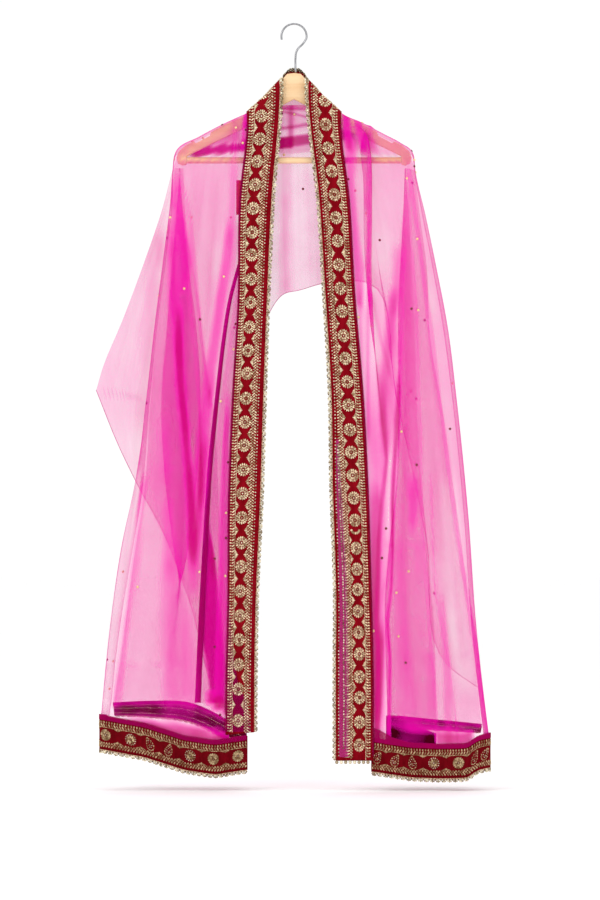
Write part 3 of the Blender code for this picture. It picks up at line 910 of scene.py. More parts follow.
@dataclass(frozen=True)
class VelvetFinish(Finish):
    """Cotton velvet: a short dense nap with a soft lit rim."""

    nap: Colour
    shade: Colour
    rim: Colour

    def mix(self, recipe: Recipe) -> None:
        """Mix the finish."""
        spot = recipe.coordinates("Object")
        brushed = recipe.noise(recipe.coordinates("Object", (1.0, 1.0, 0.35)), 130.0, 4.0)
        nap = recipe.noise(spot, 1900.0, 2.0)
        tone = (brushed * 0.75 + nap * 0.35).stretched(0.32, 0.78)
        recipe.set(
            Base_Color=recipe.mixed(tone, self.shade, self.nap), Roughness=0.92, Specular_IOR_Level=0.02,
            Sheen_Weight=0.35, Sheen_Roughness=0.45, Sheen_Tint=self.rim,
            Normal=recipe.bump(nap * 0.7 + brushed * 0.5, 0.0007, 0.8),
        )


@dataclass(frozen=True)
class MetalThreadFinish(Finish):
    """Metal-wrapped embroidery thread or small metal beads. Its base colour runs from dull to bright with
    each copy's own tone, its wear, the turns of its wrapping and its glints: bright on the crowns and at the
    glints as painted highlights, and brown between the turns as painted shade.
    """

    # bright is the colour of the painted highlights; dull is the thread's own darker colour, which also
    # serves as painted shade
    bright: Colour
    dull: Colour
    roughness: float
    lightness: float = 0.0
    twist: float = 900.0  # turns of the wrapping in a metre

    def mix(self, recipe: Recipe) -> None:
        """Mix the finish."""
        x, y, z = recipe.parts(recipe.coordinates("Object"))
        # Painted highlight and shade: the crowns of the wrapping are lighter and the turns between them
        # darker; the glints are painted highlights.
        wrap = ((x + z) * self.twist + y * self.twist / 2).wave()
        glint = recipe.noise(recipe.coordinates("Object"), 420.0, 2.0)
        wear = recipe.noise(recipe.coordinates("Object"), 60.0, 3.0)
        own = recipe.attribute("tone")
        tone = own * 0.8 + glint * 0.3 + wrap * 0.15 + wear * 0.2 + (self.lightness - 0.35)
        recipe.set(
            Base_Color=recipe.mixed(tone.stretched(0.0, 1.0), self.dull, self.bright), Metallic=0.6,
            Roughness=self.roughness + (1.0 - glint) * 0.25,
            Normal=recipe.bump(wrap, 0.0003, 0.5),
        )


@dataclass(frozen=True)
class WoodFinish(Finish):
    """Pale planed beech with long grain and fine fibres under a thin matt varnish."""

    early: Colour
    late: Colour

    def mix(self, recipe: Recipe) -> None:
        """Mix the finish."""
        grain = recipe.noise(recipe.coordinates("Object", (5.0, 60.0, 46.0)), 1.0, 5.0)
        fibres = recipe.noise(recipe.coordinates("Object", (60.0, 900.0, 900.0)), 1.0, 3.0)
        tone = (grain * 0.8 + fibres * 0.25).stretched(0.35, 0.72)
        recipe.set(
            Base_Color=recipe.mixed(tone, self.early, self.late), Roughness=0.42 + fibres * 0.2,
            Normal=recipe.bump(fibres, 0.0003, 0.4), Coat_Weight=0.15, Coat_Roughness=0.35,
        )


@dataclass(frozen=True)
class SteelFinish(Finish):
    """Bright drawn steel wire with faint marks along it."""

    metal: Colour
    mark: Colour

    def mix(self, recipe: Recipe) -> None:
        """Mix the finish."""
        drawn = recipe.noise(recipe.coordinates("Object", (700.0, 700.0, 60.0)), 1.0, 3.0)
        recipe.set(
            Base_Color=recipe.mixed(drawn.stretched(0.35, 0.7), self.mark, self.metal), Metallic=1.0,
            Roughness=0.16 + drawn * 0.16, Normal=recipe.bump(drawn, 0.0002, 0.3),
        )


@dataclass(frozen=True)
class WovenFinish(Finish):
    """A close plain weave, for the bare label."""

    warp: Colour
    weft: Colour
    pitch: float = 0.0009

    def mix(self, recipe: Recipe) -> None:
        """Mix the finish."""
        x, y, _ = recipe.parts(recipe.coordinates("UV"))
        weave = (x / self.pitch).wave() * (y / self.pitch).wave()
        worn = recipe.noise(recipe.coordinates("UV"), 90.0, 2.0)
        recipe.set(
            Base_Color=recipe.mixed((weave * 0.6 + worn * 0.4).stretched(0.1, 0.8), self.weft, self.warp),
            Roughness=0.78, Specular_IOR_Level=0.2, Normal=recipe.bump(weave, 0.0003, 0.6),
        )


@dataclass(frozen=True)
class FloorFinish(Finish):
    """A plain pale studio floor."""

    paint: Colour

    def mix(self, recipe: Recipe) -> None:
        """Mix the finish."""
        recipe.set(Base_Color=self.paint, Roughness=0.9, Specular_IOR_Level=0.1)


FINISHES = (
    NetFinish("net", (0.84, 0.004, 0.41), (0.57, 0.001, 0.175), 0.37),
    NetFinish("net_slip", (0.66, 0.05, 0.27), (0.36, 0.01, 0.11), 0.55),
    # A net darkened to the colour of shaded velvet, for the net that laps the borders' margins and feet:
    # painted shade.
    NetFinish("net_laps_painted_shade", (0.32, 0.001, 0.08), (0.26, 0.001, 0.06), 0.55),
    RolledFinish("net_edge", (0.74, 0.03, 0.36), (0.55, 0.01, 0.22), 0.62),
    VelvetFinish("velvet", (0.27, 0.003, 0.010), (0.15, 0.001, 0.004), (0.6, 0.04, 0.05)),
    VelvetFinish("velvet_inside", (0.14, 0.001, 0.022), (0.08, 0.001, 0.012), (0.15, 0.003, 0.04)),
    VelvetFinish("velvet_hem", (0.17, 0.002, 0.007), (0.10, 0.001, 0.003), (0.4, 0.02, 0.03)),
    VelvetFinish("tape", (0.36, 0.001, 0.055), (0.24, 0.001, 0.035), (0.5, 0.02, 0.14)),
    MetalThreadFinish("gold_thread", (1.0, 0.88, 0.60), (0.30, 0.17, 0.07), 0.24, 0.20),
    MetalThreadFinish("dull_gold_thread", (0.70, 0.54, 0.31), (0.21, 0.11, 0.04), 0.3, 0.12),
    MetalThreadFinish("braid", (0.84, 0.50, 0.36), (0.48, 0.20, 0.13), 0.35, 0.45),
    MetalThreadFinish("gold_beads", (1.0, 0.93, 0.70), (0.22, 0.14, 0.06), 0.14, 0.1),
    MetalThreadFinish("dark_beads", (0.10, 0.09, 0.06), (0.02, 0.015, 0.01), 0.12),
    MetalThreadFinish("sequin_gold", (1.0, 0.82, 0.45), (0.7, 0.4, 0.15), 0.3, 0.6),
    MetalThreadFinish("sequin_red", (0.36, 0.03, 0.06), (0.2, 0.01, 0.03), 0.15),
    WovenFinish("label", (0.82, 0.04, 0.03), (0.60, 0.02, 0.015)),
    WoodFinish("wood", (0.93, 0.66, 0.38), (0.80, 0.49, 0.24)),
    SteelFinish("steel", (0.46, 0.46, 0.48), (0.26, 0.26, 0.27)),
    FloorFinish("floor", (0.985, 0.985, 0.985)),
)
Finishes = dict[str, Material]


# ---- The stole ----


class Side(Enum):
    """The two fronts, by the sign of their place across."""

    LEFT = -1
    RIGHT = 1

    @property
    def word(self) -> str:
        """The word used in names."""
        return self.name.lower()


class Motif(Enum):
    """The figures down the middle of a border."""

    MEDALLION = "medallion"
    FLOWER = "flower"
    PAISLEY = "paisley"
    FAN = "half medallion"


def declared(piece: Piece, node: str) -> Piece:
    """Hide the node that a piece stands for, and give the piece back."""
    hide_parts(node)
    return piece


def trimming(pieces: list[Piece]) -> list[Piece]:
    """Give pieces of handwork back unchanged."""
    return pieces


def hung_net(name: str, sheet: Sheet, creases: list[Crease],
             material: Material) -> tuple[Piece, Points]:
    """Crease a net and make it a piece.

    Args:
        name: the node that it stands for.
        sheet: its surface.
        creases: what is pressed into it.
        material: its finish.

    Returns:
        The piece, and the points of its foot before it was creased.
    """
    feet = [Vector(point) for point in sheet.points[-1]]
    return declared(sheet.creased(creases).build(f"{name}_cloth", material), name), feet


@dataclass
class FrontNet:
    """The net of one front: over the arm, down beside its border, round the side and turned in behind."""

    side: Side
    creases: list[Crease]
    flat: Pair
    fine: int = 6
    steps: int = 14

    def lines(self) -> list[Line]:
        """The guide lines, from under the border to the turned-in edge."""
        sign = self.side.value
        if self.side is Side.LEFT:
            margin, guides, foot, ends = LEFT_MARGIN, LEFT_FRONT, LEFT_FOOT, (LEFT_SIDE, LEFT_TURN)
        else:
            margin, guides, foot, ends = RIGHT_MARGIN[:-1], RIGHT_FRONT, RIGHT_FOOT, (RIGHT_SIDE, RIGHT_TURN)
        lap = border_line(margin, MARGIN_ON_ARM, sign, -sign * LAP, foot)
        flat = border_line(margin, MARGIN_ON_ARM, sign, sign * FLAT, foot)
        return [lap, flat] + [front_line(guide, sign) for guide in guides] + plain_lines(ends)

    def build(self, finishes: Finishes) -> tuple[Piece, Points]:
        """Hang the net, and give the points where it ends at its hem."""
        sheet = Sheet.hung(self.lines(), 16, ARM_ROWS, self.fine, self.steps, Facing.FRONT)
        piece, feet = hung_net(f"net_front_{self.side.word}", sheet, self.creases, finishes["net"])
        return piece, feet


@dataclass
class InnerNet:
    """The pleated net behind one front."""

    side: Side
    guides: tuple
    creases: list[Crease]
    flat: Pair
    fine: int = 6
    steps: int = 16

    def build(self, finishes: Finishes) -> Points:
        """Hang the net, and give the points where it ends at its hem."""
        sheet = Sheet.hung(plain_lines(self.guides), 18, (), self.fine, self.steps, Facing.BACK)
        piece, feet = hung_net(f"net_inner_{self.side.word}", sheet, self.creases, finishes["net"])
        return feet


@dataclass
class BackNet:
    """The net behind the hanger, from the left wing to the right tail, with its rolled free edge."""

    creases: list[Crease]
    flat: Pair
    area: float  # of the cut, which isn't a rectangle, in square metres
    edge_radius: float = 0.6
    fine: int = 8
    steps: int = 8

    def build(self, finishes: Finishes) -> Piece:
        """Hang the net and roll its lower edge."""
        sheet = Sheet.hung([back_line(guide) for guide in BACK], 16, (), self.fine, self.steps, Facing.BACK)
        piece, _ = hung_net("net_back", sheet, self.creases, finishes["net"])
        foot = [tuple(point) for point in sheet.points[-1]]
        edge = swept("net_back_rolled_edge", foot, self.edge_radius, 8, finishes["net_edge"])
        return piece


@dataclass
class TapeLayer:
    """The turned-in layer on the left, with the velvet tape on its edge."""

    creases: list[Crease]
    flat: Pair
    tape_flat: Pair
    tape_width: Table = ((470.0, 7.0), (700.0, 8.6), (1000.0, 11.0), (1290.0, 12.5))
    wall: float = 0.9

    def build(self, finishes: Finishes) -> None:
        """Hang the layer and sew the tape on."""
        lines = plain_lines((LEFT_TAPE, TAPE_LAYER_END))
        sheet = Sheet.hung(lines, 12, (), 8, 24, Facing.FRONT)
        rows = sheet.points.copy()
        layer, _ = hung_net("net_turned_left", sheet, self.creases, finishes["net"])
        ways = rows[:, -1] - rows[:, 0]
        ways /= np.linalg.norm(ways, axis=1, keepdims=True)
        widths = np.array([read(self.tape_width, -row[0, 2]) for row in rows])
        shares = np.linspace(0.0, 1.0, 4)
        points = rows[:, :1] + ways[:, None] * (widths[:, None] * shares)[..., None]
        ribbon = Sheet(points, Facing.FRONT).moved_out(OVER_NET)
        tape = declared(ribbon.build("tape_left_velvet", finishes["tape"], self.wall), "tape_left")


@dataclass(frozen=True)
class Layout:
    """Where the gold work lies on a border, in nominal millimetres from its beaded edge."""

    outer_dots: float = 5.9  # 0 for none
    outer_band: Pair = (8.6, 19.0)
    middle: float = 31.6
    inner_band: Pair = (45.2, 56.0)
    medallion_radius: float = 12.2
    point_depth: float = 7.6


RIGHT_LAYOUT = Layout(2.6, (5.2, 14.6), 28.7, (43.0, 53.2))
HEM_LAYOUT = Layout(0.0, (1.6, 10.4), 24.4, (38.8, 50.0), 10.2, 5.0)


@dataclass
class Embroidery:
    """Gold work on a velvet border: two bands of slanted stitches, and figures and points between them."""

    band: Band
    name: str
    centres: list[tuple[float, Motif]]
    seed: int
    start: float = 1.0
    face: float = 0.5
    layout: Layout = Layout()
    stitch_pitch: float = 5.4
    point_base: float = 16.0
    leaf: float = 3.0  # width of a slanted stitch
    lean: float = 32.0  # degrees that it leans
    knot: float = 3.4  # of the beads beside the outer band
    near: float = 26.0  # figures closer than this have no points between them
    gold: Material | None = None  # the usual gold if None
    thread: Handwork = field(default_factory=lambda: Handwork(Stamp.STITCH))
    beads: Handwork = field(default_factory=lambda: Handwork(Stamp.BEAD))

    def places(self, pitch: float, offset: float = 0.0) -> list[float]:
        """Even places down the border."""
        start, end = min(self.band.starts) + self.start, max(self.band.ends) - self.start
        count = int((end - start - offset) / pitch)
        return [start + offset + pitch * (i + 0.5) for i in range(count)]

    def cord(self, across: float, width: float, pitch: float) -> None:
        """A couched cord: a row of long stitches end to end."""
        for along in self.places(pitch):
            self.thread.add(along, across, pitch * 1.12, width, width, self.rng.uniform(-7, 7))

    def slanted(self, low: float, high: float, lean: float, offset: float = 0.0) -> None:
        """A row of slanted leaf stitches between two places across."""
        middle, reach = (low + high) / 2, high - low
        for along in self.places(self.stitch_pitch, offset):
            turn = 90 + lean + self.rng.uniform(-9, 9)
            length = reach / abs(math.sin(math.radians(turn))) * self.rng.uniform(0.9, 1.1)
            spot = along + self.rng.uniform(-0.3, 0.3)
            width = self.leaf * self.rng.uniform(0.85, 1.1)
            self.thread.add(spot, middle, length, width, self.leaf * 0.9, turn)

    def comb(self, across: float, length: float, pitch: float) -> None:
        """Short straight stitches side by side, like the teeth of a comb."""
        for along in self.places(pitch):
            uneven = length * self.rng.uniform(0.85, 1.15)
            self.thread.add(along, across, uneven, 2.9, 2.1, 90 + self.rng.uniform(-12, 12))

    def dots(self, across: float, size: float, pitch: float) -> None:
        """A row of small metal beads."""
        for along in self.places(pitch):
            self.beads.add(along, across + self.rng.uniform(-0.2, 0.2), size, size, size * 0.8)

    def ring(self, along: float, across: float, radius: float, count: int, length: float,
             width: float) -> None:
        """Stitches that point out from a middle."""
        for index in range(count):
            angle = math.tau * (index + self.rng.uniform(-0.12, 0.12)) / count
            x, y = radius * math.cos(angle), radius * math.sin(angle)
            self.thread.add(along + x, across + y, length, width, width * 0.9, math.degrees(angle))

    def beaded(self, along: float, across: float, radius: float, count: int, size: float) -> None:
        """A ring of small metal beads."""
        for index in range(count):
            angle = math.tau * index / count
            x, y = radius * math.cos(angle), radius * math.sin(angle)
            self.beads.add(along + x, across + y, size, size, size * 0.8)

    def medallion(self, along: float, across: float) -> None:
        """A round medallion: petals, a ring of knots and a middle."""
        radius = self.layout.medallion_radius
        self.ring(along, across, radius * 0.84, 17, 5.2, 3.5)
        self.ring(along, across, radius * 0.47, 11, 4.6, 3.1)
        self.beads.add(along, across, 4.0, 4.0, 3.0)

    def fan(self, along: float, across: float) -> None:
        """Half a medallion, where the velvet is pieced."""
        for index in range(9):
            angle = math.pi * (index / 8 - 0.5)
            x, y = 6.0 * math.cos(angle), 8.4 * math.sin(angle)
            self.thread.add(along - 3.0 + x, across + y, 5.2, 3.2, 2.8, math.degrees(angle))

    def flower(self, along: float, across: float) -> None:
        """A flower: nine petals in a ring of beads."""
        radius = self.layout.medallion_radius
        self.ring(along, across, radius * 0.52, 9, radius * 0.62, 4.0)
        self.beaded(along, across, radius * 0.94, 15, 2.8)
        self.beads.add(along, across, 3.6, 3.6, 2.8)

    def paisley(self, along: float, across: float, tilt: float) -> None:
        """A drop with a bent tip: an outline of stitches round a smaller one of beads.

        Args:
            along: distance along the border.
            across: distance across it.
            tilt: degrees that the tip leans.
        """
        cosine, sine = math.cos(math.radians(tilt)), math.sin(math.radians(tilt))
        outline, inside = (8.6, 11.4, 15, self.thread, 3.6), (4.4, 6.4, 8, self.beads, 2.2)
        for width, length, count, work, size in (outline, inside):
            for index in range(count):
                angle = math.tau * (index + 0.5) / count
                up = length * math.cos(angle)
                bend = width * 0.35 * max(up / length, 0) ** 2
                aside = width * math.sin(angle) * math.sin(angle / 2) ** 0.8 + bend
                x, y = aside * cosine - up * sine, aside * sine + up * cosine
                turn = math.degrees(math.atan2(y, x)) + 90
                work.add(along + x, across - 0.5 + y, size, 2.3, 2.0, turn)
        self.thread.add(along, across - 3.0, 5.0, 2.2, 2.0, 90 + tilt)

    def point(self, along: float, across: float, way: int, base: float, depth: float) -> None:
        """A pointed group of stitches that stands on a band."""
        count = 7
        for index in range(count):
            side = (index - (count - 1) / 2) / ((count - 1) / 2)
            length = depth * (1 - 0.74 * abs(side))
            spot = along + side * base * 0.48
            self.thread.add(spot, across + way * length / 2, length, 2.7, 2.2, 90 - way * side * 10)

    def build(self, finishes: Finishes) -> list[Piece]:
        """Sew all of it.

        Args:
            finishes: the finishes.

        Returns:
            The thread work and the bead work.
        """
        self.rng = random.Random(self.seed)
        layout = self.layout
        low, high = layout.outer_band
        half = low + (high - low) * 0.45
        self.slanted(low - 0.4, half + 0.2, self.lean)
        self.slanted(half - 0.2, high - 1.6, -self.lean, self.stitch_pitch / 2)
        self.comb(high - 1.0, 3.4, self.stitch_pitch)
        if layout.outer_dots:
            self.dots(layout.outer_dots, self.knot, 6.4)
        low, high = layout.inner_band
        self.cord(low, 1.6, 4.4)
        self.slanted(low + 0.8, high - 4.2, -self.lean)
        self.comb(high - 2.0, 4.6, self.stitch_pitch)
        for (along, motif), following in zip(self.centres, self.centres[1:] + [None]):
            across = layout.middle + self.rng.uniform(-0.5, 0.5)
            if motif is Motif.MEDALLION:
                self.medallion(along, across)
            elif motif is Motif.FAN:
                self.fan(along, across)
            elif motif is Motif.FLOWER:
                self.flower(along, across)
            else:
                self.paisley(along, across, self.rng.choice((-26, -16, 18, 28)))
            if following is None:
                continue
            gap = following[0] - along
            if gap < self.near:
                continue
            halfway = along + gap / 2
            base = min(self.point_base, gap * 0.45)
            depth = layout.point_depth * min(1.0, gap / 42)
            self.point(halfway, layout.outer_band[1] + 0.2, 1, base, depth)
            self.point(halfway, layout.inner_band[0] - 0.2, -1, base, depth)
        gold = self.gold or finishes["gold_thread"]
        thread = self.thread.build(f"{self.name}_gold_thread", self.band, gold, self.face)
        beads = self.beads.build(f"{self.name}_gold_beads", self.band, finishes["gold_beads"], self.face)
        return trimming([thread, beads])


@dataclass
class Lace:
    """The beaded edging: a metal braid and small scallops of beads, each with a larger bead at its tip."""

    band: Band
    name: str
    node: str
    seed: int
    start: float = 1.0
    face: float = 0.4
    braid: Pair = (-3.0, -6.0)
    pitch: float = 10.9
    reach: float = 4.6
    bead: float = 3.6
    tip: float = 5.3
    dark_bead: float = 3.8
    stud: float = 2.4
    seam: float = 13.0  # left bare behind the arm, where the border is cut at a slant
    filled: bool = False  # closed up with rows of beads (across, size)
    fill_rows: Table = ((-1.2, 3.6), (-4.4, 3.6), (-7.4, 3.6), (-10.0, 3.8))

    def build(self, finishes: Finishes) -> list[Piece]:
        """Sew the edging along the band."""
        rng = random.Random(self.seed)
        start, end = self.band.reach(0.0)
        start, end = start + self.start, end - self.start
        if self.band.slanted_start:
            start += self.seam
        low, high = (((start, across), (end, across)) for across in self.braid)
        braid = self.band.strip(low, high, 0.0).build(f"{self.name}_braid", finishes["braid"], 0.8)
        declared(braid, self.node)
        beads, dark, thread = Handwork(Stamp.BEAD), Handwork(Stamp.BEAD), Handwork(Stamp.STITCH)
        count = int((end - start) / self.pitch)
        step = (end - start) / count
        for index in range(count):
            middle = start + step * (index + 0.5)
            for spot in range(5):
                angle = math.pi * (spot + 0.5) / 5
                out = self.braid[1] - self.reach * math.sin(angle) + 0.4
                beads.add(middle + step * 0.44 * math.cos(angle), out, self.bead, self.bead, self.bead * 0.85)
            beads.add(middle, self.braid[1] - 0.8, self.tip, self.tip, self.tip * 0.7)
            dark.add(start + step * index, self.braid[1] - 0.4, self.dark_bead, self.dark_bead, 3.2)
            dark.add(middle, (self.braid[0] + self.braid[1]) / 2, self.stud, self.stud, 2.6)
            for spot in range(3 if self.filled else 0):
                for row, (across, size) in enumerate(self.fill_rows):
                    work = beads if (spot + row) % 2 else dark
                    work.add(middle + step * (spot - 1) / 3, across, size, size, size, lift=0.8)
            for spot in range(4):
                along = start + step * (index + (spot + 0.5) / 4)
                thread.add(along, sum(self.braid) / 2 + rng.uniform(-0.2, 0.2), 3.0, 1.3, 1.5, 35)
        return [braid] + trimming([
            beads.build(f"{self.name}_beads", self.band, finishes["gold_beads"]),
            dark.build(f"{self.name}_dark_beads", self.band, finishes["dark_beads"]),
            thread.build(f"{self.name}_thread", self.band, finishes["gold_thread"], self.face),
        ])


def sewn(band: Band, node: str, lace_node: str, name: str, centres: list[tuple[float, Motif]], seed: int,
         finishes: Finishes, held: str = "hung",
         layout: Layout = Layout(), gold: Material | None = None, cloth: Material | None = None) -> None:
    """A velvet border with its embroidery and edging.

    Args:
        band: the border's surface.
        node: the solid of its velvet.
        lace_node: the solid of its edging.
        name: what its pieces are called after.
        centres: distance along and kind of each figure.
        seed: for the unevenness of the handwork.
        finishes: the finishes.
        held: how the cloth is held.
        layout: where its gold work lies.
        gold: finish of its gold thread, where it isn't the usual one.
        cloth: finish of its velvet, where it isn't the usual one.
    """
    velvet = declared(band.build(f"{name}_velvet", cloth or finishes["velvet"], VELVET), node)
    work = Embroidery(band, name, centres, seed, layout=layout, gold=gold).build(finishes)
    lace = Lace(band, f"{name}_lace", lace_node, seed + 1, filled=held == "draped").build(finishes)


def charted_points(columns: list[tuple], rows: list[Array]) -> Array:
    """Points of a grid at given distances along each of its columns."""
    return np.stack([np.stack([np.interp(marks, column[0], column[1][:, axis]) for axis in range(3)], axis=1)
                     for column, marks in zip(columns, rows)], axis=1)


@dataclass
class LongBorder:
    """The velvet border down one front."""

    side: Side
    flat: Pair
    runs: Table  # drop of the first medallion, pitch and count of each run of them
    layout: Layout = Layout()
    slip: Table = ((0.0, 0.0),)
    fan: float = 0.0  # drop of the half medallion at the seam, or 0
    strip_beads: Pair = (0.0, 0.0)  # where the beads on the slipped strip start and end
    strip_rows: Table = ((4.72, 4.0), (5.12, 2.6))  # (across, size) of those beads
    strip_gap: float = 1.25  # from one to the next, in sizes
    foot_beads: int = 0
    foot_bead: float = 8.8
    tail: float = 40.0  # how far the velvet hangs down behind the arm
    overrun: float = 20.0  # how far the chart goes on below the foot
    past_ridge: int = 10  # points from the arm's top to where distance along is the drop itself
    seed: int = 11

    def column(self, share: float) -> tuple[Array, Array, float, float]:
        """One line of the chart, from behind the arm to the border's foot.

        Args:
            share: how far across, from the beaded edge to the margin.

        Returns:
            The distance along and the place of points down the line, and where it starts and ends.
        """
        sign = self.side.value
        margin, edge = (LEFT_MARGIN, LEFT_EDGE) if self.side is Side.LEFT else (RIGHT_MARGIN, RIGHT_EDGE)
        spread = -sign * EDGE_SPREAD
        drops = [row[0] for row in margin[:-1]]
        across = [(read(edge, d) + spread) * (1 - share) + read(margin, d) * share for d in drops]
        foot = edge[-1][0] * (1 - share) + margin[-1][0] * share
        crossing = (sign * EDGE_ON_ARM + spread) * (1 - share) + sign * MARGIN_ON_ARM * share
        tail = place(read(RIDGE, abs(crossing)) + self.tail, crossing, OVER_ARM[0][1] + 1)
        fall = [place(d, x, read(FRONT_DEPTH, d)) for d, x in zip(drops, across)]
        fall.append(place(foot + self.overrun, across[-1], read(FRONT_DEPTH, foot)))
        line = Line([tail] + over_arm(crossing) + fall)
        marks = np.arange(0.0, line.marks[-1], 2.0)
        points = np.array([tuple(line.at(mark)) for mark in marks])
        turn = int(np.argmax(points[:, 2])) + self.past_ridge
        behind = -points[turn, 2] - (marks[turn] - marks)
        along = np.where(np.arange(len(marks)) < turn, behind, -points[:, 2])
        return along, points, float(np.interp(line.marks[1], marks, along)), foot

    def band(self) -> Band:
        """The border's surface, over the arm and down, and its chart."""
        columns = [self.column(i / ACROSS) for i in range(ACROSS + 1)]
        starts, ends = (np.array([column[i] for column in columns]) for i in (2, 3))
        marks = np.arange(starts.min() - 4, ends.max() + 8, 4.0)
        chart = Sheet(charted_points(columns, [marks] * len(columns)), Facing.FRONT).moved_out(OVER_NET)
        rows = [np.linspace(start, end, 170) for start, end in zip(starts, ends)]
        band = Band(charted_points(columns, rows), Facing.FRONT).moved_out(OVER_NET)
        band.charted(chart, marks, starts, ends)
        band.slip = self.slip
        return band

    def build(self, finishes: Finishes) -> Band:
        """Sew the border and give its surface."""
        band = self.band()
        rng = random.Random(self.seed)
        first, pitch, _ = self.runs[0]
        higher = [(first - pitch * i, pitch, 1) for i in (4, 3, 2, 1)]  # on the arm, above the first run
        centres = [(first + pitch * i + rng.uniform(-1.2, 1.2), Motif.MEDALLION)
                   for first, pitch, count in (*higher, *self.runs) for i in range(count)]
        if self.fan:
            centres = sorted(centres + [(self.fan, Motif.FAN)], key=lambda centre: centre[0])
        word = self.side.word
        sewn(band, f"border_front_{word}", f"lace_front_{word}", f"long_border_{word}", centres,
             self.seed + 1, finishes, layout=self.layout)
        if self.strip_beads[0]:
            row = self.strip_row(band, rng)
            trimming([row.build(f"long_border_{word}_strip_beads", band, finishes["gold_beads"])])
        if self.foot_beads:
            trimming([self.foot_row(band, f"long_border_{word}_foot_beads", finishes["gold_beads"])])
        return band

    def strip_row(self, band: Band, rng: random.Random) -> Handwork:
        """The beads down the slipped strip, narrowed by as much as the slip will widen them."""
        work = Handwork(Stamp.BEAD)
        start, end = self.strip_beads
        for across, size in self.strip_rows:
            for index in range(int((end - start) / size / self.strip_gap)):
                along = start + size * self.strip_gap * index
                width = size / (1 + read(self.slip, along) / band.slip_width)
                spot = along + rng.uniform(-0.6, 0.6)
                work.add(spot, across + rng.uniform(-0.03, 0.03), size, width, size * 0.8, lift=2.0)
        return work

    def foot_row(self, band: Band, name: str, material: Material) -> Piece:
        """The beads across the border's foot, laid as if the band had no slip."""
        size = self.foot_bead
        ends, slip = band.ends, band.slip
        band.ends, band.slip = ends + size * 2, ((0.0, 0.0),)
        width = size / (1 + slip[-1][1] / (band.high - band.low))
        work = Handwork(Stamp.BEAD)
        for index in range(self.foot_beads):
            across = -2.0 + BORDER_WIDTH * index / self.foot_beads
            work.add(float(ends.max()) + size * 0.3, across, size, width, size)
        piece = work.build(name, band, material)
        band.ends, band.slip = ends, slip
        return piece


@dataclass
class NeckBorder:
    """The border round the back of the neck, and the net that is turned up under it."""

    flat: Pair
    net_flat: Pair
    velvet_share: float = 0.62
    raised: float = 5.4
    pitch: float = 45.0  # from one medallion to the next
    net_plies: float = 2.4
    seed: int = 31

    def build(self, finishes: Finishes) -> None:
        """Sew the border behind the hanger's neck."""
        edge = Line([place(row[1], row[0], row[4]) for row in NECK]).through_points(10)
        margin = Line([place(row[3], row[2], row[4]) for row in NECK]).through_points(10)
        low = -EDGE_SPREAD / BORDER_WIDTH
        shares = [low + (self.velvet_share - low) * i / ACROSS for i in range(ACROSS + 1)]
        band = Band(self.grid(edge, margin, shares) + np.array((0.0, 0.0, self.raised)), Facing.FRONT)
        half = band.marks[-1] / 2
        centres = [(half + offset, Motif.MEDALLION) for offset in (-self.pitch, 0.0, self.pitch)]
        sewn(band, "border_neck", "lace_neck", "neck_border", centres, self.seed, finishes,
             held="draped")
        start, width = self.velvet_share - 0.04, 1.04 - self.velvet_share
        shares = [start + width * i / ACROSS for i in range(ACROSS + 1)]
        net = Sheet(self.grid(edge, margin, shares), Facing.FRONT)
        net.plies *= self.net_plies
        piece = net.build("neck_net", finishes["net"])

    def grid(self, edge: Points, margin: Points, shares: list[float]) -> Array:
        """Points between the border's edge and its margin."""
        return np.array([[tuple(a.lerp(b, share)) for share in shares] for a, b in zip(edge, margin)])


@dataclass
class HemBorder:
    """The velvet border round the bottom of one front."""

    side: Side
    flat: Pair
    motifs: tuple[tuple[float, Motif], ...]  # (across the part, kind)
    seed: int
    flower_pitch: float = 40.0  # of the flowers that follow, round the side

    def band(self, feet: Points) -> Band:
        """The border's surface, hung from where the front net ends.

        Args:
            feet: points along the net's foot.

        Returns:
            The surface, from its beaded edge up to its margin.
        """
        if self.side is Side.LEFT:
            corner = [place(0, across, read(FRONT_DEPTH, CORNER_DROP)) for across in LEFT_CORNER]
            plan, tops = corner + feet, LEFT_HEM_TOP
        else:
            plan = [point for point in feet if point.x > RIGHT_HEM_TOP[0][0] + 4]
            plan.insert(0, place(0, RIGHT_HEM_TOP[0][0] - 5, plan[0].y + 5.5))
            tops = RIGHT_HEM_TOP
        plan = rounded([Vector((point.x, point.y, 0.0)) for point in plan], 3.0)
        falls = np.linspace(HEM_HEIGHT + EDGE_SPREAD, 0.0, ACROSS + 1)
        points = [[(p.x, p.y, -(smooth_read(tops, p.x) + fall)) for fall in falls] for p in plan]
        return Band(np.array(points), Facing.FRONT).moved_out(OVER_NET)

    def build(self, finishes: Finishes, feet: Points) -> Band:
        """Sew the border and give its surface."""
        band = self.band(feet)
        middle = band.points[:, ACROSS // 2, 0]
        outermost = int(np.argmax(np.abs(middle)))
        centres = []
        for across, motif in self.motifs:
            row = int(np.argmin(np.abs(middle[:outermost + 1] - across)))
            centres.append((float(band.marks[row]), motif))
        centres.sort(key=lambda centre: centre[0])
        while centres[-1][0] + self.flower_pitch < band.marks[-1] - 8:
            centres.append((centres[-1][0] + self.flower_pitch, Motif.FLOWER))
        word = self.side.word
        sewn(band, f"hem_front_{word}", f"lace_hem_{word}", f"hem_{word}", centres, self.seed, finishes,
             layout=HEM_LAYOUT, gold=finishes["dull_gold_thread"],
             cloth=finishes["velvet_hem"])
        return band


def smooth_read(table: Table, at: float) -> float:
    """The value of a two-column table, eased between its rows."""
    return sum(read(table, at + shift) for shift in (-8, -4, 0, 4, 8)) / 5


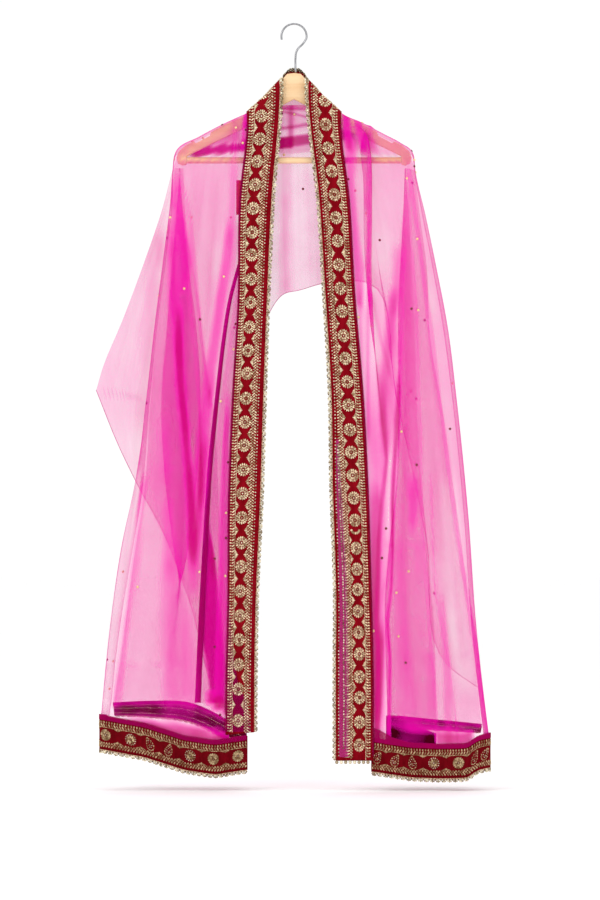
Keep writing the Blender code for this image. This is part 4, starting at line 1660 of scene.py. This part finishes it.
def rounded(points: Points, spacing: float) -> Points:
    """A line through points, cut evenly and with its corners eased."""
    line = Line(points)
    count = int(line.marks[-1] / spacing)
    even = [line.at(line.marks[-1] * i / count) for i in range(count + 1)]
    middle = [(a + b * 2 + c) / 4 for a, b, c in zip(even, even[1:], even[2:])]
    return [even[0]] + middle + [even[-1]]


@dataclass
class InnerHem:
    """The end border of one inner net. It flares to the back, and its wrong side shows in front."""

    side: Side
    falls: Table
    flat: Pair
    seed: int
    bare: float = 0.0  # length with no embroidery at the start
    rows_of_dots: tuple[float, ...] = (10.0, 34.0, 48.0)
    pitch: float = 44.0  # from one medallion to the next
    ring: float = 8.5

    def flare(self, share: float, distance: float) -> Vector:
        """From the net's foot to a point of the hem: upright where it laps the net, then out to the back."""
        if distance < 0:
            return Vector((0, 0, -distance))
        fall = read(self.falls, share) / FREE_HEM
        return Vector((0, (1 - fall ** 2) ** 0.5, -fall)) * distance

    def build(self, finishes: Finishes, feet: Points) -> None:
        """Sew the border, and the backs of its stitches on its wrong side."""
        reach = FREE_HEM + EDGE_SPREAD
        marks = [reach - reach * i / 10 for i in range(11)] + [-LAP / 2, -LAP]
        points = [[tuple(foot + self.flare(i / (len(feet) - 1), mark)) for mark in marks]
                  for i, foot in enumerate(feet)]
        band = Band(np.array(points), Facing.BACK).moved_out(OVER_NET)
        word = self.side.word
        name = f"inner_hem_{word}"
        velvet = band.build(f"{name}_velvet", finishes["velvet_inside"], VELVET)
        declared(velvet, f"hem_inner_{word}")
        backs = self.backs(band)
        wrong = backs.build(f"{name}_stitch_backs", band, finishes["dull_gold_thread"], -VELVET / 2)
        trimming([wrong])
        places = [self.pitch * (i + 0.5) for i in range(int(band.marks[-1] / self.pitch))]
        centres = [(along, Motif.MEDALLION) for along in places]
        starts = band.starts
        band.starts = starts + self.bare
        work = Embroidery(band, name, centres, self.seed + 2, start=2.0, face=1.7).build(finishes)
        band.starts = starts
        lace = Lace(band, f"{name}_lace", f"lace_inner_{word}", self.seed + 1, start=2.0).build(finishes)

    def backs(self, band: Band) -> Handwork:
        """The backs of the stitches: three rows, and a ring behind each medallion."""
        rng = random.Random(self.seed)
        work = Handwork(Stamp.STITCH)
        for across in self.rows_of_dots:
            for index in range(int(band.marks[-1] / 4.2)):
                aside = across + rng.uniform(-0.9, 0.9)
                work.add(4.2 * (index + 0.5), aside, 3.0, 2.4, 1.6, rng.uniform(-25, 25))
        for index in range(int(band.marks[-1] / self.pitch)):
            for spot in range(10):
                angle = math.tau * spot / 10
                x, y = self.ring * math.cos(angle), self.ring * math.sin(angle)
                along = self.pitch * (index + 0.5) + x
                work.add(along, 31 + y, 2.2, 0.8, 0.9, math.degrees(angle) + 90)
        return work


@dataclass
class Overlay:
    """Net that lies over part of a border. Unless it is stretched, it takes a net darkened to the colour of
    shaded velvet, which is painted shade.

    Its outer and inner sides are rows of (along, across).
    """

    name: str
    border: str
    low: Table
    high: Table
    flat: Pair
    area: float
    plies: float
    lift: float
    stretched: bool = False

    def build(self, finishes: Finishes, band: Band) -> None:
        """Lay the net on its border."""
        sheet = band.strip(self.low, self.high, self.lift, 8)
        sheet.plies *= self.plies
        # Unless stretched, the net is darkened to the colour of shaded velvet: painted shade.
        piece = sheet.build(self.name, finishes["net_slip"] if self.stretched else finishes["net_laps_painted_shade"])


@dataclass
class Label:
    """The bare woven label behind the left front."""

    across: float = -110.0
    drop: float = 296.0
    behind: float = 1.9
    width: float = 13.0
    height: float = 66.0
    wall: float = 0.7

    def build(self, finishes: Finishes) -> None:
        """Sew the label in."""
        rows = []
        for i in range(25):
            drop = self.drop + self.height * i / 24
            depth = read(FRONT_DEPTH, drop) + self.behind + 0.35 * math.sin(i * 0.45)
            rows.append([(self.across + self.width * j / 6, depth, -drop) for j in range(7)])
        piece = Sheet(np.array(rows), Facing.FRONT).build("label_woven", finishes["label"], self.wall)
        declared(piece, "label")


@dataclass
class Sequins:
    """Tiny sequins that are sewn here and there on the nets."""

    seed: int = 71
    diameter: float = 5.0
    off_net: float = 0.0009  # metres
    gold_share: float = 0.62

    def build(self, finishes: Finishes, nets: list[tuple[Piece, int]]) -> None:
        """Sew them on.

        Args:
            finishes: the finishes.
            nets: each net, and how many sequins it has.
        """
        rng = random.Random(self.seed)
        for word, share in (("gold", self.gold_share), ("red", 1 - self.gold_share)):
            work = Handwork(Stamp.DISC)
            frames = []
            for net, count in nets:
                faces = net.data.polygons
                for _ in range(round(count * share)):
                    face = faces[rng.randrange(len(faces))]
                    forward = -1.0 if face.normal.y > 0 else 1.0
                    frames.append((face.center.copy(), face.normal * forward))
                    work.add(0, 0, self.diameter, self.diameter, self.diameter)
            mesh, points = work.copies(False)
            spots = work.places(points).reshape(len(frames), -1, 3)
            placed = []
            for spot, (centre, normal) in zip(spots, frames):
                turn = normal.to_track_quat("Z", "Y").to_matrix()
                placed.append(spot @ np.array(turn).T * MM + np.array(centre + normal * self.off_net))
            mesh.vertices.foreach_set("co", np.array(placed).ravel())
            mesh.update()
            trimming([shown(f"sequins_{word}", mesh, finishes[f"sequin_{word}"], smooth=False)])


# ---- The hanger ----


def swept(name: str, path: list, radius: float, sides: int, material: Material) -> Piece:
    """A round rod or cord along a path in millimetres.

    Args:
        name: the piece's name.
        path: points along its middle.
        radius: its radius in millimetres.
        sides: faces round it.
        material: its finish.

    Returns:
        The piece.
    """
    curve = bpy.data.curves.new(name, "CURVE")
    curve.dimensions = "3D"
    curve.bevel_depth = radius * MM
    curve.bevel_resolution = sides // 2 - 2
    curve.use_fill_caps = True
    spline = curve.splines.new("POLY")
    spline.points.add(len(path) - 1)
    for spot, point in zip(spline.points, path):
        spot.co = (*(Vector(point) * MM), 1.0)
    rod = bpy.data.objects.new(name, curve)
    mesh = bpy.data.meshes.new_from_object(rod)
    bpy.data.objects.remove(rod)
    bpy.data.curves.remove(curve)
    shape = bmesh.new()
    shape.from_mesh(mesh)
    bmesh.ops.remove_doubles(shape, verts=shape.verts, dist=1e-6)
    bmesh.ops.recalc_face_normals(shape, faces=shape.faces)
    bpy.data.meshes.remove(mesh)
    return made(name, shape, material)


@dataclass
class Hanger:
    """The shaped beech hanger with its trouser bar and steel hook."""

    wood: float = 12.0
    round_edge: float = 2.4
    bar: float = 12.0
    bar_drop: float = 258.0
    bar_half: float = 203.6
    wire: float = 4.0
    hook_radius: float = 24.0
    shank: Table = ((36, 17), (45, 8), (53, 4), (62, 3), (91.8, 3))

    def arms(self, finishes: Finishes) -> Piece:
        """Both arms and the neck: one outline, extruded and rounded over."""
        half = list(ARM_TOP + ARM_TIP + ARM_LOWER)
        outline = half + [(-across, drop) for across, drop in reversed(half[1:-1])]
        shape = bmesh.new()
        verts = [shape.verts.new((across * MM, self.wood / 2 * MM, -drop * MM)) for across, drop in outline]
        face = shape.faces.new(verts)
        swept_faces = bmesh.ops.extrude_face_region(shape, geom=[face])["geom"]
        moved = [item for item in swept_faces if isinstance(item, bmesh.types.BMVert)]
        bmesh.ops.translate(shape, verts=moved, vec=(0, -self.wood * MM, 0))
        bmesh.ops.recalc_face_normals(shape, faces=shape.faces)
        shape.normal_update()
        rims = [edge for edge in shape.edges if edge.calc_face_angle(0) > math.radians(60)]
        bmesh.ops.bevel(shape, geom=rims, offset=self.round_edge * MM, affect="EDGES", segments=5,
                        profile=0.5, material=-1, clamp_overlap=True)
        body = made("hanger_arms", shape, finishes["wood"])
        body.data.set_sharp_from_angle(angle=math.radians(38))
        return declared(body, "hanger_body")

    def trouser_bar(self, finishes: Finishes) -> Piece:
        """The round bar between the tips."""
        path = [(-self.bar_half + self.bar_half * i / 12, 0, -self.bar_drop) for i in range(25)]
        bar = swept("hanger_trouser_bar", path, self.bar / 2, 48, finishes["wood"])
        bar.data.set_sharp_from_angle(angle=math.radians(50))
        return declared(bar, "hanger_bar")

    def hook(self, finishes: Finishes) -> Piece:
        """The wire hook: most of a turn, then back to a straight shank."""
        middle = Vector((0.0, 0.0, self.wire / 2 - self.hook_radius))
        angles = [math.radians(195 - 5 * i) for i in range(42)]
        turn = [middle + self.hook_radius * Vector((math.cos(a), 0, math.sin(a))) for a in angles]
        shank = [Vector((across, 0, -drop)) for drop, across in self.shank]
        path = turn + Line([turn[-1]] + shank).through_points(5)[1:]
        wire = swept("hanger_hook_wire", path, self.wire / 2, 20, finishes["steel"])
        return declared(wire, "hanger_hook")


# ---- The studio ----


@dataclass
class Studio:
    """A white studio: camera, soft lights and a pale floor."""

    distance: float = 12.0
    aim: Point = (0.0114, -0.025, -0.8094)
    frame_height: float = 1.71
    sensor: float = 36.0
    floor_level: float = -1.456
    floor_size: float = 40.0
    world_strength: float = 1.02
    # (place, size, power) of each light
    lights: tuple[tuple[Point, float, float], ...] = (
        ((-2.4, -4.2, 1.4), 1.2, 30.0),
        ((2.8, -3.6, 0.4), 2.0, 10.0),
        ((0.0, -0.2, 2.2), 2.2, 12.0),
        ((0.0, 2.6, 1.6), 2.6, 14.0),
    )

    def camera(self) -> None:
        """Set the camera up level, in front."""
        data = bpy.data.cameras.new("camera")
        data.sensor_width = self.sensor
        data.lens = self.sensor * self.distance / self.frame_height
        data.clip_end = 100.0
        thing = bpy.data.objects.new("camera", data)
        thing.location = (self.aim[0], self.aim[1] - self.distance, self.aim[2])
        thing.rotation_euler = (math.pi / 2, 0, 0)
        bpy.context.scene.collection.objects.link(thing)
        bpy.context.scene.camera = thing

    def light(self) -> None:
        """Hang the soft lights and light the walls."""
        scene = bpy.context.scene
        world = bpy.data.worlds.new("studio")
        world.use_nodes = True
        world.node_tree.nodes["Background"].inputs["Color"].default_value = (1.0, 1.0, 1.0, 1.0)
        world.node_tree.nodes["Background"].inputs["Strength"].default_value = self.world_strength
        scene.world = world
        for index, (spot, size, power) in enumerate(self.lights):
            data = bpy.data.lights.new(f"soft_box_{index}", "AREA")
            data.shape = "DISK"
            data.size = size
            data.energy = power
            thing = bpy.data.objects.new(f"soft_box_{index}", data)
            thing.location = spot
            thing.rotation_euler = (Vector(self.aim) - Vector(spot)).to_track_quat("-Z", "Y").to_euler()
            scene.collection.objects.link(thing)
        scene.view_settings.view_transform = "Standard"
        scene.cycles.transparent_max_bounces = 40

    def floor(self, finishes: Finishes) -> None:
        """Lay the floor."""
        shape = bmesh.new()
        bmesh.ops.create_grid(shape, x_segments=4, y_segments=4, size=self.floor_size / 2)
        bmesh.ops.translate(shape, verts=shape.verts, vec=(0, 0, self.floor_level))
        mesh = bpy.data.meshes.new("floor")
        shape.to_mesh(mesh)
        shape.free()
        mesh.materials.append(finishes["floor"])
        thing = bpy.data.objects.new("floor", mesh)
        bpy.context.scene.collection.objects.link(thing)
        thing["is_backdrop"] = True


LEFT_CREASES = crease_table(
    (0.7, 7, 0, 60, 2, (120, -112), (320, -113), (520, -112)),
    (-0.8, 9, 0, 10, 6, (296, -103), (376, -103)),
    (0.1, 9, 4, 60, 2, (420, -150), (700, -170), (1000, -176), (1300, -180)),
    (0.2, 6, -2.5, 60, 2, (760, -290), (980, -318), (1200, -345), (1320, -355)),
    (0.7, 0, 0, 30, 8, (344, -222, 10.4), (448, -215, 23.8), (555, -211, 30.4), (659, -213, 39.9),
     (766, -222, 45.6), (876, -226, 53.2), (946, -218, 41.8), (1018, -201, 24.7), (1087, -191, 10.4)),
    (3.4, 8.5, 2, 60, 2, (397, -230), (521, -228), (625, -219), (732, -212), (840, -200), (912, -196),
     (1018, -190)),
    (1.3, 3.2, 1, 30, 2, (317, -209), (380, -196), (450, -190), (555, -180), (644, -169), (724, -158)),
    (1.1, 3.2, 1, 30, 2, (414, -209), (538, -198), (625, -188), (766, -177), (876, -173), (980, -173)),
    (1.3, 0, 0, 30, 6, (863, -285, 5.7), (904, -289, 5.7), (1018, -301, 6.8), (1132, -317, 7.2),
     (1246, -331, 6.1), (1300, -338, 5.7)),
    (-0.55, 0, 0, 30, 6, (844, -293, 4.8), (904, -304, 7.6), (1018, -323, 9.5), (1132, -341, 10.4),
     (1246, -351, 9.5), (1307, -359, 9.5)),
    (0.8, 7.6, 0, 30, 2, (268, -116), (334, -118), (420, -124)),
    (3, 4.9, 0, 14, 4, (169, -90), (198, -94), (239, -96)),
    (0.8, 17.1, 2, 60, 2, (1016, -238), (1151, -239), (1298, -236)),
    (1.1, 0, 0, 60, 3, (990, -234, 17.1), (1132, -224, 24.7), (1246, -217, 28.5), (1307, -213, 30.4)),
    (1.1, 0, 0, 60, 3, (1094, -201, 11.4), (1189, -200, 13.3), (1294, -198, 15.2)),
    (2.4, 0, 0, 30, 3, (296, -220, 9.5), (334, -224, 9.5), (448, -203, 11.4), (505, -211, 7.6)),
    (3.4, 0, 0, 40, 3, (543, -217, 6.5), (676, -217, 6.8), (790, -205, 6.8), (904, -196, 7.6),
     (1018, -192, 9.5)),
    (1.5, 0, 0, 40, 3, (904, -239, 9.5), (980, -236, 11.4), (1047, -234, 11.4)),
    (2.7, 0, 0, 40, 3, (384, -122, 7.6), (448, -127, 9.5), (524, -139, 9.5), (600, -150, 9.5),
     (676, -162, 9.5), (752, -169, 11.4), (828, -177, 11.4), (904, -180, 9.5), (990, -186, 9.5)),
    (3.6, 0, 0, 60, 4, (724, -125, 5.7), (790, -129, 5.7), (904, -131, 9.5), (1018, -132, 10.4),
     (1132, -135, 11.4), (1284, -137, 13.3)),
    (2.2, 0, 0, 30, 3, (790, -167, 7.6), (847, -171, 9.5), (914, -175, 7.6)),
    (-0.6, 0, 0, 40, 6, (429, -104, 4), (749, -148, 5), (836, -158, 5.5), (958, -166, 6), (1094, -173, 7),
     (1307, -182, 7.5)),
) + level_table(
    (-0.85, 5.9, 0, 6, 6, (254, -217), (254, -97)),
    (-0.5, 9.5, 0, 12, 4, (243, -205), (212, -152), (184, -103)),
    (-0.88, 10, 0, 10, 6, (1302, -346), (1302, -274), (1305, -230), (1310, -198), (1324, -160), (1334, -125)),
    (6, 12, 0, 60, 4, (1328, -300), (1338, -250), (1346, -207), (1356, -150), (1364, -110)),
    (6, 13, 0, 10, 4, (1278, -165), (1290, -140), (1300, -118)),
) + crease_table(
    (1.6, 0, 0, 30, 3, (960, -196, 6), (1018, -194, 8), (1070, -192, 6)),
    (2, 0, 0, 40, 3, (676, -155, 6), (720, -160, 6)),
    (-1.9, 0, 0, 30, 3, (780, -199, 8), (809, -198, 8), (840, -197, 8)),
    (0.9, 0, 0, 40, 3, (760, -248, 11), (809, -245, 11), (870, -243, 11)),
    (2, 0, 0, 30, 3, (590, -221, 6), (640, -220, 6)),
    # Painted highlight: the next two take plies away so that the net is lighter where it shines.
    (-0.4, 0, 0, 30, 3, (420, -150, 10), (480, -151, 10)),
    (-0.8, 0, 0, 30, 3, (990, -150, 10), (1050, -150, 10)),
) + level_table(
    (0.4, 3, 1.2, 20, 2, (1220, -359), (1216, -179)),
    (0.4, 3, 1, 20, 2, (840, -274), (844, -220)),
)
RIGHT_CREASES = crease_table(
    (0.8, 5, 2, 60, 2, (160, 146), (300, 143), (505, 139)),
    (0.1, 8, 3.5, 60, 2, (700, 190), (980, 205), (1320, 224)),
    (3, 6.5, 0, 14, 4, (165, 99), (198, 101), (239, 106)),
    (2.6, 6.1, 0, 14, 4, (182, 121), (209, 125), (239, 133)),
    (2.6, 0, 0, 16, 3, (220, 106, 11.4), (243, 108, 11.4), (296, 107, 7.6), (372, 112, 8.5), (448, 120, 9.5),
     (536, 124, 5.7)),
    (-0.6, 3.8, 0, 16, 4, (353, 137), (448, 135), (543, 137)),
    (-0.55, 0, 0, 30, 4, (566, 147, 7.6), (638, 150, 8.5), (714, 152, 7.6), (790, 156, 7.6)),
    (2.5, 0, 1, 30, 3, (509, 190, 9.5), (543, 186, 9.5), (600, 180, 9.5), (676, 171, 8.5), (752, 169, 6.6),
     (828, 175, 3.8), (904, 167, 3.8), (980, 162, 3.8), (1056, 160, 3.8), (1132, 156, 3.8), (1208, 160, 4.6),
     (1385, 158, 4.6)),
    (4.2, 0, 1, 30, 3, (669, 200, 3), (752, 196, 5.7), (828, 192, 4.6), (904, 187, 4.2), (1018, 186, 3),
     (1075, 184, 3), (1132, 177, 3), (1208, 182, 3), (1385, 180, 3)),
    (1.6, 0, 0, 40, 3, (581, 188, 5.7), (676, 184, 7.6), (752, 184, 9.5), (809, 180, 5.7)),
    (2.2, 0, 0, 50, 3, (885, 152, 9.5), (980, 154, 10.4), (1094, 154, 9.5), (1208, 154, 10.4),
     (1385, 154, 7.6)),
    (1.2, 0, 0, 30, 3, (429, 198, 13.3), (505, 196, 9.5), (562, 186, 7.6)),
    (2.2, 0, 0, 30, 3, (866, 226, 9.5), (904, 228, 9.5), (961, 224, 7.6)),
    (0.9, 0, 0, 40, 3, (980, 198, 9.5), (1056, 200, 9.5), (1170, 205, 13.3), (1385, 226, 30.4)),
    (1.2, 0, 0, 40, 3, (1094, 281, 5.7), (1170, 287, 6.6), (1246, 291, 7.6), (1385, 294, 7.6)),
    (-0.5, 0, 0, 40, 4, (859, 287, 13.3), (942, 293, 17.1), (1056, 302, 20.9), (1132, 310, 20.9),
     (1265, 331, 17.1)),
    (1.3, 3, 1, 20, 2, (505, 142), (638, 141), (790, 142)),
    (1, 3, 1, 20, 2, (452, 133), (555, 126), (657, 129)),
    (0.9, 0, 0, 60, 6, (496, 141, 32.3), (600, 148, 32.3), (714, 154, 32.3), (790, 158, 28.5)),
    (2.2, 0, 0, 160, 4, (714, 156, 26.6), (904, 156, 20.9), (1094, 158, 17.1), (1351, 160, 15.2)),
    (2.8, 9, 0, 160, 2, (1000, 152), (1208, 155), (1351, 157)),
    (1, 3, 1, 16, 2, (513, 148), (600, 165), (707, 195)),
    (0.8, 0, 0, 30, 8, (310, 218, 4.8), (408, 213, 12), (521, 207, 22.8), (619, 203, 31.3), (714, 209, 27.5),
     (790, 218, 22.8), (912, 224, 7.6)),
    (1.6, 3.6, 1.5, 30, 2, (435, 209), (591, 204), (714, 200), (771, 197), (859, 188), (946, 184),
     (1053, 177), (1081, 170)),
    (1.1, 4.6, 0, 30, 6, (274, 218), (414, 238), (521, 251), (625, 265), (787, 286), (876, 296), (999, 314),
     (1104, 332), (1193, 346), (1360, 366)),
    (1, 3, 1, 30, 2, (435, 226), (547, 233), (695, 237), (771, 241), (929, 242), (1053, 251), (1210, 262),
     (1385, 274)),
    (0.8, 3, 1, 30, 2, (859, 260), (1018, 265), (1087, 270), (1210, 293), (1370, 312)),
    (0.5, 0, 0, 60, 6, (876, 217, 24.7), (1051, 217, 34.2), (1189, 222, 39.9), (1385, 228, 43.7)),
) + level_table(
    (-0.85, 5.9, 0, 6, 6, (254, 106), (254, 205)),
    (1.6, 5.5, 0, 14, 6, (1334, 214), (1338, 240), (1341, 268)),
    (-0.85, 5.6, 0, 6, 6, (1317, 179), (1320, 224), (1328, 270), (1336, 315), (1340, 361)),
    (-1.9, 11, 0, 6, 6, (1344, 182), (1352, 215), (1358, 240), (1360, 268)),
    (5, 14, 0, 10, 6, (1354, 270), (1356, 305), (1353, 338)),
) + crease_table(
    (3.6, 0, 0, 40, 3, (1150, 166, 7), (1210, 164, 7), (1310, 160, 7)),
    (0.9, 0, 0, 40, 3, (1200, 258, 10), (1265, 262, 10), (1330, 260, 10)),
    (1, 0, 0, 40, 3, (590, 201, 8), (650, 200, 8)),
    (1.5, 0, 0, 24, 3, (200, 130, 9), (240, 154, 9)),
    (0.7, 0, 0, 40, 3, (980, 236, 9), (1050, 240, 9)),
    (0.8, 0, 0, 30, 3, (880, 160, 6), (930, 164, 6)),
    (-0.5, 0, 0, 60, 3, (490, 255, 13), (560, 262, 13)),
    (-0.4, 0, 0, 60, 3, (1110, 292, 13), (1220, 300, 13)),
    (-0.35, 0, 0, 50, 3, (390, 170, 14), (470, 176, 14)),
) + level_table(
    (0.4, 3, 1, 20, 2, (988, 135), (990, 264)),
    (0.4, 3, 1, 20, 2, (1199, 249), (1197, 334)),
)
BACK_CREASES = crease_table(
    (0.6, 0, 0, 30, 3, (400, -256, 10), (460, -254, 10)),
    (-0.3, 55, 0, 80, 4, (300, 170), (520, 200), (800, 250), (1100, 290)),
    (0.6, 17.1, 0, 60, 2, (380, -262), (448, -270), (581, -274), (695, -281), (771, -289)),
    (0.3, 0, 0, 60, 4, (334, -255, 15.2), (524, -302, 45.6), (695, -334, 53.2), (771, -321, 41.8)),
) + level_table(
    (9, 6.4, 1, 16, 6, (244, -196), (235, -130), (232, -92)),
    (5.5, 10, 1, 16, 6, (226, -98), (224, -26), (215, 44), (212, 68), (206, 110)),
    (5, 10, 0, 5, 6, (226, -60), (225, -30), (223, -4)),
    (1.2, 7, 0, 16, 4, (238, -44), (237, 0), (233, 44)),
    (2.6, 18, 0, 24, 4, (217, -190), (212, -150), (206, -98)),
    (3, 26, 0, 24, 4, (200, 84), (206, 120), (216, 150)),
    (1.1, 34, 0, 20, 4, (160, -50), (168, 0), (172, 50)),
) + crease_table(
    (0.8, 14, 0, 40, 2, (150, -22), (300, -22), (520, -20)),
    (0.7, 10, 0, 40, 2, (150, 46), (300, 46), (500, 50)),
) + level_table(
    (2.4, 2.4, 1, 12, 2, (158, -30), (160, 0), (163, 40)),
    (2.6, 2.4, 1, 12, 2, (163, -28), (170, 6), (177, 32)),
    (3.4, 3, 1, 12, 2, (197, -30), (193, 2), (187, 34)),
) + crease_table(
    (3, 5.8, 0.5, 16, 2, (146, -5), (200, -6), (230, -6)),
    (0.5, 9, 3, 60, 2, (250, -10), (380, -14), (520, -12)),
    (0.4, 7, -2, 60, 2, (250, 24), (380, 30), (500, 32)),
    (0.5, 10, 4, 60, 2, (300, -180), (520, -206), (720, -230), (900, -236)),
    (0.4, 8, -3, 60, 2, (300, -150), (600, -172), (900, -176), (1150, -170)),
) + level_table(
    (0.6, 3.5, 1.5, 15, 2, (700, -365), (703, -330), (712, -290)),
) + crease_table(
    (0.4, 7, 3, 60, 2, (480, 150), (700, 190), (900, 225)),
    (0.4, 8, -3, 60, 2, (520, 230), (800, 262), (1100, 300)),
    (-0.45, 0, 0, 60, 4, (1018, 276, 26), (1132, 300, 34), (1265, 326, 44)),
    (-0.5, 0, 0, 60, 4, (866, 296, 19), (1018, 306, 22.8), (1132, 319, 22.8), (1284, 334, 22.8)),
)
INNER_LEFT_CREASES = crease_table(
    (0.4, 7, 2.5, 60, 2, (380, -215), (700, -205), (1000, -220), (1250, -240)),
    (0.4, 7, 2.5, 60, 2, (450, -180), (800, -170), (1200, -150)),
)
INNER_RIGHT_CREASES = crease_table(
    (0.4, 7, 2.5, 60, 2, (380, 215), (700, 218), (1000, 210), (1250, 215)),
    (0.4, 7, 2.5, 60, 2, (450, 245), (800, 280), (1200, 320)),
)
TAPE_CREASES = crease_table(
    (9, 0, 0, 40, 6, (967, -164, 5.7), (1018, -162, 11.4), (1094, -160, 16.5), (1170, -156, 19),
     (1227, -148, 15.2), (1284, -145, 12.3)),
    (0.6, 9.5, 1.5, 60, 2, (524, -106), (676, -129), (840, -148), (980, -152)),
)

LEFT_MOTIFS = (
    (-105, Motif.MEDALLION), (-152, Motif.MEDALLION), (-198, Motif.FLOWER), (-238, Motif.PAISLEY),
    (-272, Motif.PAISLEY), (-310, Motif.FLOWER), (-357, Motif.MEDALLION),
)
RIGHT_MOTIFS = (
    (157, Motif.PAISLEY), (191, Motif.PAISLEY), (225, Motif.PAISLEY), (265, Motif.FLOWER),
    (312, Motif.MEDALLION), (342, Motif.PAISLEY), (362, Motif.PAISLEY),
)
OVERLAYS = (
    Overlay("net_over_left_foot", "long_border_left",
            ((1040, 59.5), (1094, 57.0), (1189, 45.6), (1256, 32.0), (1284, 14.0), (1344, 3.0)),
            ((1040, 62.0), (1344, 62.0)), (0.059, 0.304), 0.0061, 0.9, 0.7),
    Overlay("net_over_left_margin", "long_border_left",
            ((190, 56.8), (1040, 56.8)), ((190, 61.0), (1040, 61.0)), (0.010, 0.852), 0.0033, 1.0, 1.6),
    Overlay("net_slip_right", "long_border_right",
            ((790, 3.9), (1392, 3.9)), ((790, 5.3), (1392, 5.3)), (0.0145, 0.602), 0.0081, 0.9, 1.1, True),
    Overlay("net_over_right_margin", "long_border_right",
            ((190, 56.6), (1390, 56.6)), ((190, 61.0), (1390, 61.0)), (0.010, 1.204), 0.0048, 0.5, 1.6),
    Overlay("net_over_left_hem", "hem_left",
            ((2, 52.0), (334, 52.0)), ((2, 61.5), (334, 61.5)), (0.010, 0.334), 0.0032, 2.0, 1.2),
    Overlay("net_over_right_hem", "hem_right", ((2, 52.0), (268, 52.0)),
            ((2, 79.0), (18, 76.0), (42, 66.0), (70, 61.5), (268, 61.5)), (0.027, 0.27), 0.0032, 3.2, 1.2),
)


def main() -> None:
    """Build the hanger, then the nets from the middle outwards, then what is sewn on them."""
    logging.basicConfig(level=logging.INFO, format="%(name)s: %(message)s")
    studio = Studio()
    studio.camera()
    finishes = {finish.name: finish.material() for finish in FINISHES}
    hanger = Hanger()
    for piece in (hanger.arms(finishes), hanger.trouser_bar(finishes), hanger.hook(finishes)):
        log.info("built %s", piece.name)
    left, left_feet = FrontNet(Side.LEFT, LEFT_CREASES, (0.23, 1.18)).build(finishes)
    right, right_feet = FrontNet(Side.RIGHT, RIGHT_CREASES, (0.24, 1.19)).build(finishes)
    left_inner_feet = InnerNet(Side.LEFT, LEFT_INNER, INNER_LEFT_CREASES, (0.21, 1.04)).build(finishes)
    right_inner_feet = InnerNet(Side.RIGHT, RIGHT_INNER, INNER_RIGHT_CREASES, (0.17, 1.06)).build(finishes)
    back = BackNet(BACK_CREASES, (1.05, 0.62), 0.38).build(finishes)
    TapeLayer(TAPE_CREASES, (0.043, 0.84), (0.010, 0.84)).build(finishes)
    log.info("hung the nets")
    bands = {
        "long_border_left": LongBorder(
            Side.LEFT, (0.073, 1.24),
            ((174.8, 43.3, 3), (304.8, 45.05, 11), (800.3, 46.3, 11), (1322.0, 46.3, 1)), seed=11,
        ).build(finishes),
        "long_border_right": LongBorder(
            Side.RIGHT, (0.077, 1.29),
            ((145.5, 44.6, 15), (813.2, 43.6, 4), (996.4, 39.3, 3), (1114.4, 41.5, 4), (1280.0, 44.8, 3)),
            RIGHT_LAYOUT, RIGHT_SLIP, fan=964.6, strip_beads=(800.0, 1384.0), foot_beads=8, seed=21,
        ).build(finishes),
    }
    NeckBorder((0.045, 0.10), (0.03, 0.14)).build(finishes)
    bands["hem_left"] = HemBorder(Side.LEFT, (0.065, 0.34), LEFT_MOTIFS, 41).build(finishes, left_feet)
    bands["hem_right"] = HemBorder(Side.RIGHT, (0.065, 0.26), RIGHT_MOTIFS, 45).build(finishes, right_feet)
    InnerHem(Side.LEFT, LEFT_INNER_FALL, (0.063, 0.27), 51).build(finishes, left_inner_feet)
    InnerHem(Side.RIGHT, RIGHT_INNER_FALL, (0.063, 0.31), 55, bare=130.0).build(finishes, right_inner_feet)
    for overlay in OVERLAYS:
        overlay.build(finishes, bands[overlay.border])
    log.info("sewed the borders")
    Label().build(finishes)
    Sequins().build(finishes, [(left, 32), (right, 30), (back, 28)])
    studio.light()
    studio.floor(finishes)
    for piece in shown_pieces():
        log.info("%s: %d faces", piece.name, len(piece.data.polygons) if piece.type == "MESH" else 0)


if __name__ == "__main__":
    main()
